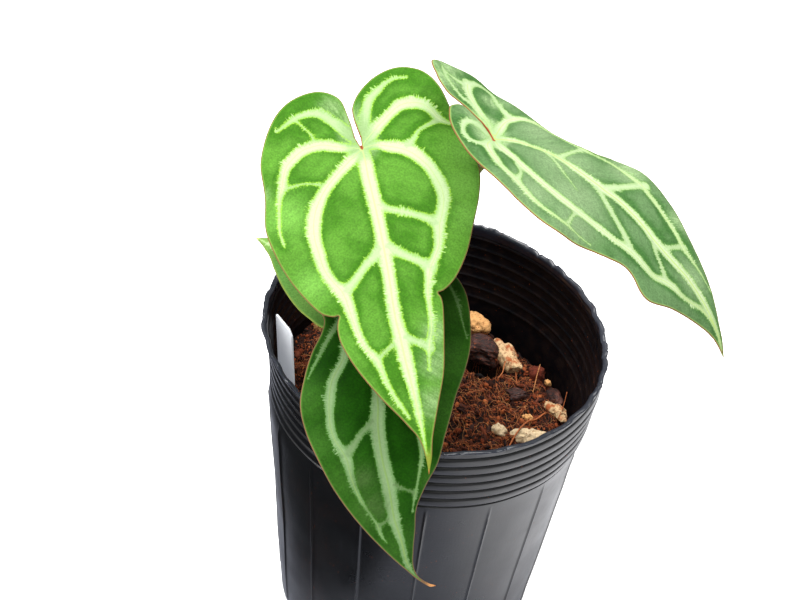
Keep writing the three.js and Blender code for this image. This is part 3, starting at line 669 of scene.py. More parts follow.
# Each long thread is the points it runs through, its radius and its tone.
strand_step = 0.8
long_threads = [
    ([(42.9, 6.7, 92.9), (39.5, 0.8, 94.6), (36.1, -4.4, 97.6), (33, -10.6, 97.6), (30.4, -16.8, 95)],
     0.28, 0.65),
    ([(24.6, 16.5, 97.2), (26.1, 19.5, 97.8), (26.6, 24, 98.4), (27.8, 27.4, 98.6)], 0.2, 0.75),
    ([(32, 17, 94.8), (31.3, 20, 95.5), (31, 23.4, 95.8)], 0.14, 0.6),
    ([(38, 16, 93.6), (38.6, 21, 96), (39.4, 25.8, 98.4)], 0.16, 0.9),
    ([(19, -22, 97), (23.5, -25, 96.5), (27, -27.6, 96), (30, -31, 95.2)], 0.18, 0.6),
    ([(47.5, 4, 93), (49, 8.5, 96), (49.6, 12, 99.5)], 0.14, 0.55),
]
bundle("long_coir_threads",
       [(evenly(curve_through(points), strand_step)[0], radius) for points, radius, tone in long_threads],
       [tone for points, radius, tone in long_threads], thread_finish, 8)


# Stones
# Broken pumice, cream to tan with brown stains in its pits, and one lump of fired clay. They lie
# half sunk in the top of the mix.

def halved(points, faces):
    """A ball of triangles with each one split into four."""
    points, middles, finer = list(points), {}, []
    for face in faces:
        mids = []
        for a, b in zip(face, np.roll(face, -1)):
            key = (min(a, b), max(a, b))
            if key not in middles:
                middles[key] = len(points)
                middle = points[a] + points[b]
                points.append(middle / np.linalg.norm(middle))
            mids.append(middles[key])
        a, b, c = face
        finer += [(a, mids[0], mids[2]), (b, mids[1], mids[0]), (c, mids[2], mids[1]), tuple(mids)]
    return np.array(points), np.array(finer)


ball_points, ball_faces = ico_points, ico_faces
for _ in range(4):
    ball_points, ball_faces = halved(ball_points, ball_faces)


def lump_shape(size, seed, pits):
    """An uneven broken lump: faceted by large noise, rough with fine noise, and pitted."""
    half = np.array(size) / 2
    points = ball_points * half
    mean = half.mean()
    swell = 0.24 * lumpiness(points, mean * 1.1, seed) + 0.14 * lumpiness(points, mean * 0.45, seed + 1)
    rough = 0.16 * lumpiness(points, 0.9, seed + 2)
    hollows = pits * np.clip(lumpiness(points, 1.3, seed + 3) - 0.25, 0, 1)
    return points * (0.93 + swell)[:, None] + ball_points * (rough - hollows)[:, None]


def laid(points, x, y, turn, lift):
    """Turns a lump about +Z and lays it at its place in the mix."""
    c, s = math.cos(math.radians(turn)), math.sin(math.radians(turn))
    spun = points @ np.array([[c, s, 0], [-s, c, 0], [0, 0, 1]])
    return spun + [x, y, mix_top(x, y) + lift]


def stone_finish(name, stained, *colours):
    """A dull stone of a pale colour, with stains over a share of it and darker pores."""
    pale, stain, deep = [paint(*colour) for colour in colours]
    material, tree = finish_of(name, {"Roughness": 0.9, "Specular IOR Level": 0.25})
    place = object_place(tree)
    patches = speckle(tree, place, 330, 4, 0.6)
    pores = speckle(tree, place, 1100, 3, 0.7)
    colour = mixed(tree, between(tree, patches, 0.62 - stained, 0.8 - stained), pale, stain)
    colour = mixed(tree, between(tree, pores, 0.56, 0.72, 0, 0.75), colour, deep)
    colour = mixed(tree, dust_on(tree, 0.8), colour, paint(120, 62, 32))
    coat(tree, {"Base Color": colour}, pores, 0.8, 0.0006)
    return material


pumice_cream = stone_finish("pumice_cream", 0.16, (204, 172, 130), (158, 86, 48), (88, 52, 32))
pumice_pale = stone_finish("pumice_pale", 0.08, (208, 184, 148), (160, 118, 76), (100, 70, 46))
pumice_tan = stone_finish("pumice_tan", 0.04, (214, 160, 102), (170, 98, 48), (96, 56, 30))
fired_clay = stone_finish("fired_clay", 0.1, (104, 44, 28), (70, 28, 18), (34, 15, 11))

for name, x, y, size, turn, lift, seed, pits, finish in [
        ("stone_tan", 13.8, 44.2, (12, 9, 9), -25, 2.5, 110, 0.9, pumice_tan),
        ("stone_long", 27.6, 29.8, (21.5, 7.6, 7.6), -58, 2.0, 231, 1.4, pumice_cream),
        ("stone_red", 39, 27, (6.5, 6, 6), 20, 1.5, 310, 0.6, fired_clay),
        ("stone_pink", 43.2, 22.6, (2.6, 2.6, 3), 0, 0.9, 370, 0.5, pumice_tan),
        ("stone_split", 46.8, 8.6, (12, 5.2, 4.8), -42, 0.6, 410, 1.9, pumice_cream),
        ("stone_brown", 36.6, 2.6, (4.2, 3.2, 3), 10, 0.4, 430, 0.9, pumice_tan),
        ("stone_white", 27.2, -9, (6.6, 4.8, 4.6), -35, 1, 470, 0.9, pumice_pale),
        ("stone_cream", 37.4, -8, (12.8, 7.4, 6), 5, 1, 530, 1.2, pumice_pale),
        ("stone_left", -42, 30, (5, 4.5, 5), 0, 1.5, 590, 0.5, pumice_tan),
        ("stone_rear", -14, 45, (9, 7, 6), 60, 1.4, 610, 0.9, pumice_cream),
        ("stone_near", 6, -38, (8, 6, 5), 30, 1.2, 670, 0.8, pumice_cream)]:
    points = laid(lump_shape(size, seed, pits), x, y, turn, lift)
    made_piece("rough_" + name, points, [ball_faces], [finish], [name])


# Husk chips
# Dark fibrous chips of coconut husk and bark, with torn ends from the chopping. They lie loose in
# the top of the mix.

def husk_shape(size, seed, arch):
    """A chip with ridges of fibre along its length, bent down towards its ends."""
    half = np.array(size) / 2
    points = np.sign(ball_points) * np.abs(ball_points) ** 0.75 * half
    swell = 0.2 * lumpiness(points, half.mean(), seed)
    points *= (1 + swell + 0.12 * lumpiness(points, half.mean() / 2, seed + 3))[:, None]
    ridges = lumpiness(points * [0.16, 1, 1], 0.55, seed + 1)
    points = points + ball_points * (0.42 * ridges + 0.22 * lumpiness(points, 0.6, seed + 2))[:, None]
    points[:, 2] -= arch * (points[:, 0] / half[0]) ** 2
    return points


husk_finish, tree = finish_of("coconut_husk", {"Specular IOR Level": 0.35})
place = object_place(tree)
drawn_out = node(tree, "Mapping", {"Vector": place, "Scale": (500, 1700, 1700)}).outputs["Vector"]
fibres = speckle(tree, drawn_out, 1.0, 3, 0.6)
worn = speckle(tree, place, 260, 3)
husk_colour = mixed(tree, between(tree, fibres, 0.35, 0.7), paint(18, 9, 8), paint(70, 33, 24))
husk_colour = mixed(tree, between(tree, worn, 0.55, 0.75, 0, 0.7), husk_colour, paint(112, 66, 54))
husk_colour = mixed(tree, dust_on(tree, 0.6), husk_colour, paint(126, 62, 32))
worn_gloss = between(tree, worn, 0.3, 0.7, 0.8, 0.6)
coat(tree, {"Base Color": husk_colour, "Roughness": worn_gloss}, fibres, 0.8, 0.0005)

for name, x, y, size, turn, lift, seed, arch in [
        ("husk_large", 17, 31.5, (15, 9, 7.5), -12, 1.8, 710, 2.4),
        ("husk_dark", 46, 16.5, (8, 5, 3.4), -60, 0.4, 730, 0.4),
        ("husk_small", 32, 12, (7, 5, 3), 30, 0.2, 790, 0.4),
        ("husk_left", -32, -28, (10, 6, 4.5), 70, 0.8, 830, 0.6),
        ("husk_rear", -34, 12, (9, 7, 5), 10, 0.8, 890, 0.6)]:
    points = laid(husk_shape(size, seed, arch), x, y, turn, lift)
    made_piece("torn_" + name, points, [ball_faces], [husk_finish], [name])


# Blades
# Four heart-shaped leaves, velvety green with silver-green bands along their veins. Each blade
# is a thin arched sheet, sunk a little along its veins above and ribbed by them below.
# u runs across a blade and v from its joint towards its tip, both in millimetres along it.

blade_half, midrib_depth = 0.35, 1.5
margin_step, vein_step, grid_step = 0.5, 0.55, 0.72
clear_of_margin, clear_of_veins = 0.42, 0.44


def lie_of(leaf):
    """The directions of a blade at its joint: along it, across it and out of its face."""
    heading, dip, roll_angle = [math.radians(leaf[k]) for k in ("heading", "dip", "roll")]
    flat_way = np.array([math.cos(heading), math.sin(heading), 0])
    along = flat_way * math.cos(dip) - np.array([0, 0, math.sin(dip)])
    flat_side = np.array([-math.sin(heading), math.cos(heading), 0])
    upright = np.cross(along, flat_side)
    across = flat_side * math.cos(roll_angle) + upright * math.sin(roll_angle)
    return along, across, upright * math.cos(roll_angle) - flat_side * math.sin(roll_angle)


def on_blade(leaf, u, v):
    """Where the middle of the blade's thickness lies."""
    along, across, out = lie_of(leaf)
    step = 0.25
    stops = np.arange(-60, 130, step)
    share = stops / leaf["length"]
    bends = np.radians(np.where(stops > 0, leaf["droop"] * share + leaf["tip_droop"] * share ** 4,
                                leaf["lobe_bend"] * share))
    slopes = (bends[1:] + bends[:-1]) / 2
    ahead = np.concatenate([[0], np.cumsum(np.cos(slopes)) * step])
    rise = np.concatenate([[0], -np.cumsum(np.sin(slopes)) * step])
    x = np.interp(v, stops, ahead) - np.interp(0, stops, ahead)
    z = np.interp(v, stops, rise) - np.interp(0, stops, rise)
    bend = np.interp(v, stops, bends)[:, None]
    twist = (math.radians(leaf["twist"]) * (np.maximum(v, 0) / leaf["length"]) ** 2)[:, None]
    side, width, fold = np.sign(u), np.abs(u), math.radians(leaf["fold"])
    lift = width * math.sin(fold) + leaf["curl"] * width ** 2
    outward = (width / 30) ** 2
    for wave_side, wave_height, wave_at, span in leaf["waves"]:
        lift += (side == wave_side) * wave_height * outward * np.exp(-((v - wave_at) / span) ** 2)
    lift += leaf["ripple"] * outward * np.sin(v * leaf["ripple_rate"] + side)
    lift += 0.3 * (1 - np.exp(-width / 4))
    bent_out = out * np.cos(bend) + along * np.sin(bend)
    turned = across * np.cos(twist) + bent_out * np.sin(twist)
    facing = bent_out * np.cos(twist) - across * np.sin(twist)
    return (np.array(leaf["joint"]) + along * x[:, None] + out * z[:, None]
            + turned * (side * width * math.cos(fold))[:, None] + facing * lift[:, None])


def blade_normals(leaf, u, v):
    across = on_blade(leaf, u + 0.4, v) - on_blade(leaf, u - 0.4, v)
    ahead = on_blade(leaf, u, v + 0.4) - on_blade(leaf, u, v - 0.4)
    normal = np.cross(ahead, across)
    return normal / np.linalg.norm(normal, axis=1)[:, None]


def from_line(points, line):
    """For each point: how far the line is, where along it, and on which side."""
    best = np.full(len(points), 1e9)
    spot, flank = np.zeros(len(points)), np.ones(len(points))
    run = 0.0
    for start, end in zip(line[:-1, :2], line[1:, :2]):
        way = end - start
        length = np.linalg.norm(way)
        off = points - start
        part = np.clip(off @ way / max(length, 1e-9) ** 2, 0, 1)
        distance = np.linalg.norm(off - part[:, None] * way, axis=1)
        nearer = distance < best
        best[nearer] = distance[nearer]
        spot[nearer] = run + part[nearer] * length
        flank[nearer] = np.sign(way[0] * off[nearer, 1] - way[1] * off[nearer, 0])
        run += length
    return best, spot, flank


def spots_of(spots, flat):
    """From 1 in the middle of each round spot to nothing well outside it."""
    most = np.zeros(len(flat))
    for u, v, wide in spots:
        most = np.maximum(most, np.exp(-((flat[:, 0] - u) ** 2 + (flat[:, 1] - v) ** 2) / wide ** 2))
    return most


def blade_sheet(name, leaf):
    """Makes one blade: a net of triangles that follows its margin and veins, given thickness."""
    left, right = [evenly(curve_through(leaf[k]), margin_step)[0] for k in ("left_margin", "right_margin")]
    outline = np.concatenate([[[0.0, 0.0]], left, right[-2::-1]])
    closed = np.vstack([outline, outline[:1]])
    lines = [evenly(curve_through([(*stop, stop[2])[:4] for stop in stops]), vein_step)[0]
             for stops, strength, outer in leaf["veins"]]
    low, high = outline.min(axis=0) - 1, outline.max(axis=0) + 1
    lattice = np.array([(u, v) for i, v in enumerate(np.arange(low[1], high[1], grid_step * 0.866))
                        for u in np.arange(low[0] + (i % 2) * grid_step / 2, high[0], grid_step)])
    lattice = lattice[inside_outline(lattice, outline)]
    clear = from_line(lattice, closed)[0] > clear_of_margin
    on_veins = np.empty((0, 2))
    for line in lines:
        clear &= from_line(lattice, line)[0] > clear_of_veins
        spots = line[inside_outline(line, outline), :2]
        spots = spots[from_line(spots, closed)[0] > 0.35]
        if len(on_veins) and len(spots):
            gap = np.linalg.norm(spots[:, None] - on_veins[None], axis=2).min(axis=1)
            spots = spots[gap > 0.32]
        on_veins = np.concatenate([on_veins, spots])
    flat = np.concatenate([outline, on_veins, lattice[clear]])
    edges = [(i, (i + 1) % len(outline)) for i in range(len(outline))]
    _, _, faces, sources, _, _ = geometry.delaunay_2d_cdt([Vector(p) for p in flat], edges, [], 0, 1e-6)
    faces = np.array([[sources[i][0] for i in face] for face in faces])
    faces = faces[inside_outline(flat[faces].mean(axis=1), outline)]

    margin = from_line(flat, closed)[0]
    reaches, best = [], np.full(len(flat), 1e9)
    along, rib, jag, full, groove = [np.zeros(len(flat)) for _ in range(5)]
    line_mark = np.full(len(flat), 5.0)
    for number, (line, (_, strength, outer)) in enumerate(zip(lines, leaf["veins"])):
        distance, spot, flank = from_line(flat, line)
        run = np.concatenate([[0], np.cumsum(np.linalg.norm(np.diff(line[:, :2], axis=0), axis=1))])
        sides = np.where(flank > 0, np.interp(spot, run, line[:, 2]), np.interp(spot, run, line[:, 3]))
        rough = np.where(flank == outer, 1.3, 0.4) if outer else np.full(len(flat), 0.8)
        reach = distance - sides + 0.3 * rough
        reaches.append(reach)
        nearer = reach < best
        best = np.minimum(best, reach)
        along[nearer] = (spot + 41.3 * number)[nearer]
        rib[nearer] = distance[nearer]
        jag[nearer] = rough[nearer]
        full[nearer] = strength
        fade = np.clip(sides / 0.8, 0, 1)
        groove = np.maximum(groove, strength * fade * np.exp(-(distance / 2.4) ** 2))
        if strength > 0.6:
            line_mark = np.minimum(line_mark, distance - (0.26 if number == 0 else 0.1) * fade)
    blend_width = 0.4
    band = -blend_width * np.log(sum(np.exp(-np.minimum(r, 30) / blend_width) for r in reaches))

    notch_line = np.concatenate([left[left[:, 1].argmin()::-1], [[0, 0]], right[:right[:, 1].argmin() + 1]])
    beside_notch = from_line(flat, notch_line)[0]
    from_joint = np.hypot(flat[:, 0], flat[:, 1])
    to_tip = np.linalg.norm(flat - outline[len(left)], axis=1)
    # The heart mark, together with the sheen spots, carries a painted greyish sheen.
    heart = np.clip(1 - beside_notch / 7.5, 0, 1) * np.clip(1 - (from_joint - 9) / 11, 0, 1)
    red_line = np.exp(-(beside_notch / 0.36) ** 2) * np.clip(1.2 - from_joint / 17, 0, 1)
    u, v = flat.T
    # The pale mark is painted light: spots of sheen and of light that falls there, which make the cells
    # paler.
    marks = {
        "band": band, "along": along, "rib": rib, "jag": jag, "full": full, "line": line_mark,
        "margin": margin, "pale": spots_of(leaf["painted_light_spots"], flat), "beside": np.abs(u), "ahead": v,
        "spoke": np.arctan2(u, -v), "out": from_joint,
        "heart": np.maximum(heart, 0.55 * spots_of(leaf["painted_sheen_spots"], flat)),
        "blush": np.maximum(red_line, np.exp(-(from_joint / 0.75) ** 2)),
        "tip": np.exp(-(to_tip / leaf["tip_length"]) ** 2),
    }

    quilt = 0.42 * (1 - groove) * np.clip(margin / 3, 0, 1) - 0.2
    quilt += 0.05 * lumpiness(np.column_stack([flat, np.zeros(len(flat))]), 2.6, 50)
    middle, normal = on_blade(leaf, u, v), blade_normals(leaf, u, v)
    half = blade_half * (0.45 + 0.55 * np.clip(margin / 1.5, 0, 1))
    midrib = from_line(flat, lines[0])[0]
    young = 1 - np.clip(v / leaf["length"], 0, 1)
    ribs_below = (midrib_depth - 2 * blade_half) * young * np.exp(-(midrib / 0.95) ** 2)
    ribs_below = np.maximum(ribs_below, 0.45 * groove ** 6) * np.clip(margin / 1.2, 0.1, 1)
    upper = middle + normal * (half + quilt)[:, None]
    lower = middle + normal * (quilt - half - ribs_below)[:, None]
    count = len(flat)
    rim = np.arange(len(outline))
    after = np.roll(rim, -1)
    edge_wall = np.stack([rim, after, count + after, count + rim], axis=1)
    facing = np.cross(upper[faces[0, 1]] - upper[faces[0, 0]], upper[faces[0, 2]] - upper[faces[0, 0]])
    if facing @ normal[faces[0, 0]] < 0:
        faces = faces[:, ::-1]
    first = faces[(faces == 5).any(axis=1) & (faces == 6).any(axis=1)][0]
    place_of_5 = list(first).index(5)
    if first[(place_of_5 + 1) % 3] == 6:
        edge_wall = edge_wall[:, ::-1]
    piece = made_piece("leaf_" + name, np.concatenate([upper, lower]),
                       [faces, count + faces[:, ::-1], edge_wall], blade_finishes(leaf),
                       ["blade_" + name], {k: np.tile(m, 2) for k, m in marks.items()})
    under_faces = np.zeros(2 * len(faces) + len(edge_wall), int)
    under_faces[len(faces):2 * len(faces)] = 1
    piece.data.polygons.foreach_set("material_index", under_faces)


leaf_colours = ("Deep Cell", "Light Cell", "Painted Light Cell", "Band", "Band Edge", "Fringe", "Vein Line",
                "Margin", "Margin Glow", "Heart", "Tip")


def vein_pattern():
    """A node group: velvety cells between banded veins. It puts out colour, gloss and relief."""
    group = bpy.data.node_groups.new("vein_pattern", "ShaderNodeTree")
    for name in leaf_colours:
        group.interface.new_socket(name, in_out="INPUT", socket_type="NodeSocketColor")
    for name in ("Fringe Strength", "Heart Strength"):
        group.interface.new_socket(name, in_out="INPUT", socket_type="NodeSocketFloat")
    group.interface.new_socket("Color", in_out="OUTPUT", socket_type="NodeSocketColor")
    for name in ("Gloss", "Relief"):
        group.interface.new_socket(name, in_out="OUTPUT", socket_type="NodeSocketFloat")
    given = group.nodes.new("NodeGroupInput").outputs
    leaving = group.nodes.new("NodeGroupOutput").inputs
    place = object_place(group)
    mark = {name: marked(group, name) for name in (
        "band", "along", "rib", "jag", "full", "line", "margin", "heart", "blush", "tip", "pale", "beside",
        "ahead", "spoke", "out")}

    def times(a, b):
        return maths(group, "MULTIPLY", a, b)

    def streaks(first, first_rate, second, second_rate):
        where = node(group, "CombineXYZ", {0: times(first, first_rate), 1: times(second, second_rate)})
        return speckle(group, where.outputs[0], 1.0, 3, 0.7)

    def shaded(colour, mask, low, high, dark, light):
        shade = between(group, mask, low, high, dark, light)
        grey = node(group, "CombineColor", {0: shade, 1: shade, 2: shade}).outputs["Color"]
        return mixed(group, 1.0, colour, grey, "MULTIPLY")

    # Teeth run out of the bands, square to the veins: long ones in clumps, fine ones all along.
    long_teeth = between(group, streaks(mark["along"], 1.7, mark["rib"], 0.3), 0.44, 0.7)
    fine_teeth = between(group, streaks(mark["along"], 3.4, mark["rib"], 0.7), 0.34, 0.72)
    clumps = between(group, speckle(group, place, 160, 2, 0.6), 0.4, 0.64)
    teeth = maths(group, "ADD", times(times(long_teeth, clumps), 1.1), times(fine_teeth, 0.5))
    edge = maths(group, "SUBTRACT", mark["band"], times(teeth, mark["jag"]))
    edge = maths(group, "ADD", edge, between(group, speckle(group, place, 2400, 2), 0.2, 0.8, -0.2, 0.2))

    # The cells: a velvet grain, faint side veins that run out and forward, and paler patches, with painted
    # light over them: a lighter middle in each cell, spots of painted sheen and light, and a greyish
    # painted sheen at the heart.
    patches = speckle(group, place, 75, 3, 0.5)
    grain = speckle(group, place, 1700, 3, 0.65)
    slanted = maths(group, "SUBTRACT", mark["ahead"], times(mark["beside"], 0.8))
    side_veins = streaks(slanted, 0.5, mark["beside"], 0.12)
    spokes = streaks(mark["spoke"], 11, mark["out"], 0.14)
    strands = node(group, "Mix", {"Factor": between(group, mark["ahead"], -5, 3), 2: spokes, 3: side_veins},
                   data_type="FLOAT").outputs[0]
    # Painted sheen: each cell is darker next to its bands and lighter in its middle. The cells are also
    # darker in the lobes behind the joint.
    depth = maths(group, "ADD", patches, between(group, mark["band"], 0.2, 3.5, -0.12, 0.08))
    depth = maths(group, "SUBTRACT", depth, between(group, mark["ahead"], -2, -12, 0, 0.14))
    cell = mixed(group, between(group, depth, 0.36, 0.66), given["Deep Cell"], given["Light Cell"])
    # Painted light: the cells turn paler where the pale mark says.
    cell = mixed(group, mark["pale"], cell, given["Painted Light Cell"])
    # Painted sheen: at the heart and on the sheen spots the cells, and the bands too, turn greyish.
    heart = times(mark["heart"], between(group, strands, 0.3, 0.7, 0.7, 1.3))
    heart = between(group, times(heart, given["Heart Strength"]), 0.0, 0.7)
    cell = mixed(group, heart, cell, given["Heart"])
    cell = shaded(cell, strands, 0.3, 0.7, 0.92, 1.08)
    cell = shaded(cell, grain, 0.28, 0.72, 0.78, 1.22)
    lime = times(between(group, edge, 0.6, 0.05), given["Fringe Strength"])
    lime = times(lime, between(group, speckle(group, place, 1500, 2), 0.38, 0.6, 0.35, 1))
    specks = between(group, speckle(group, place, 800, 2, 0.6), 0.7, 0.78, 0, 0.35)
    cell = mixed(group, maths(group, "MAXIMUM", lime, times(specks, mark["pale"])), cell, given["Fringe"])
    band = mixed(group, between(group, edge, -0.1, -1.2), given["Band Edge"], given["Band"])
    band = mixed(group, between(group, mark["full"], 0.35, 1.0, 0.5, 0), band, given["Heart"])
    band = mixed(group, times(heart, 0.75), band, given["Heart"])
    band = shaded(band, grain, 0.28, 0.72, 0.93, 1.07)
    in_band = between(group, edge, 0.12, -0.12)
    colour = mixed(group, in_band, cell, band)
    vein = times(between(group, mark["line"], 0.16, -0.1), between(group, mark["band"], 0.0, -0.6, 0, 0.6))
    colour = mixed(group, vein, colour, given["Vein Line"])
    colour = mixed(group, between(group, mark["margin"], 0.75, 0.4, 0, 0.6), colour, given["Margin Glow"])
    colour = mixed(group, between(group, mark["margin"], 0.34, 0.14), colour, given["Margin"])
    colour = mixed(group, between(group, mark["tip"], 0.2, 0.75), colour, given["Tip"])
    colour = mixed(group, between(group, mark["tip"], 0.93, 1.0), colour, paint(150, 92, 52))
    colour = mixed(group, between(group, mark["blush"], 0.3, 0.8), colour, paint(118, 52, 32))
    group.links.new(colour, leaving["Color"])
    gloss = maths(group, "SUBTRACT", grain, times(in_band, 0.3))
    group.links.new(between(group, gloss, 0.0, 0.8, 0.5, 0.68), leaving["Gloss"])
    relief = maths(group, "ADD", grain, times(vein, 1.2))
    relief = maths(group, "ADD", relief, times(strands, 0.12))
    group.links.new(maths(group, "SUBTRACT", relief, times(in_band, 0.25)), leaving["Relief"])
    return group


vein_group = vein_pattern()


def blade_finishes(leaf):
    """The finish of a blade's velvety face, and the paler one of its underside."""
    face, tree = finish_of(leaf["finish"] + "_face", {
        "Specular IOR Level": 0.03, "Sheen Weight": 0.01, "Sheen Roughness": 0.5})
    given = {socket: paint(*colour) for socket, colour in zip(leaf_colours, leaf["colours"])}
    given.update({"Fringe Strength": leaf["fringe"], "Heart Strength": leaf["heart"]})
    pattern = node(tree, "Group", given, node_tree=vein_group).outputs
    coat(tree, {"Base Color": pattern["Color"], "Roughness": pattern["Gloss"]}, pattern["Relief"],
         0.35, 0.0002)
    below, tree = finish_of(leaf["finish"] + "_underside", {"Roughness": 0.6, "Specular IOR Level": 0.3})
    skin, ribs = [paint(*colour) for colour in leaf["under"]]
    mottle = speckle(tree, object_place(tree), 900, 3)
    colour = mixed(tree, between(tree, mottle, 0.3, 0.7, 0, 0.35), skin, ribs)
    colour = mixed(tree, between(tree, marked(tree, "line"), 0.9, 0.1), colour, ribs)
    coat(tree, {"Base Color": colour}, mottle, 0.3, 0.0002)
    return [face, below]


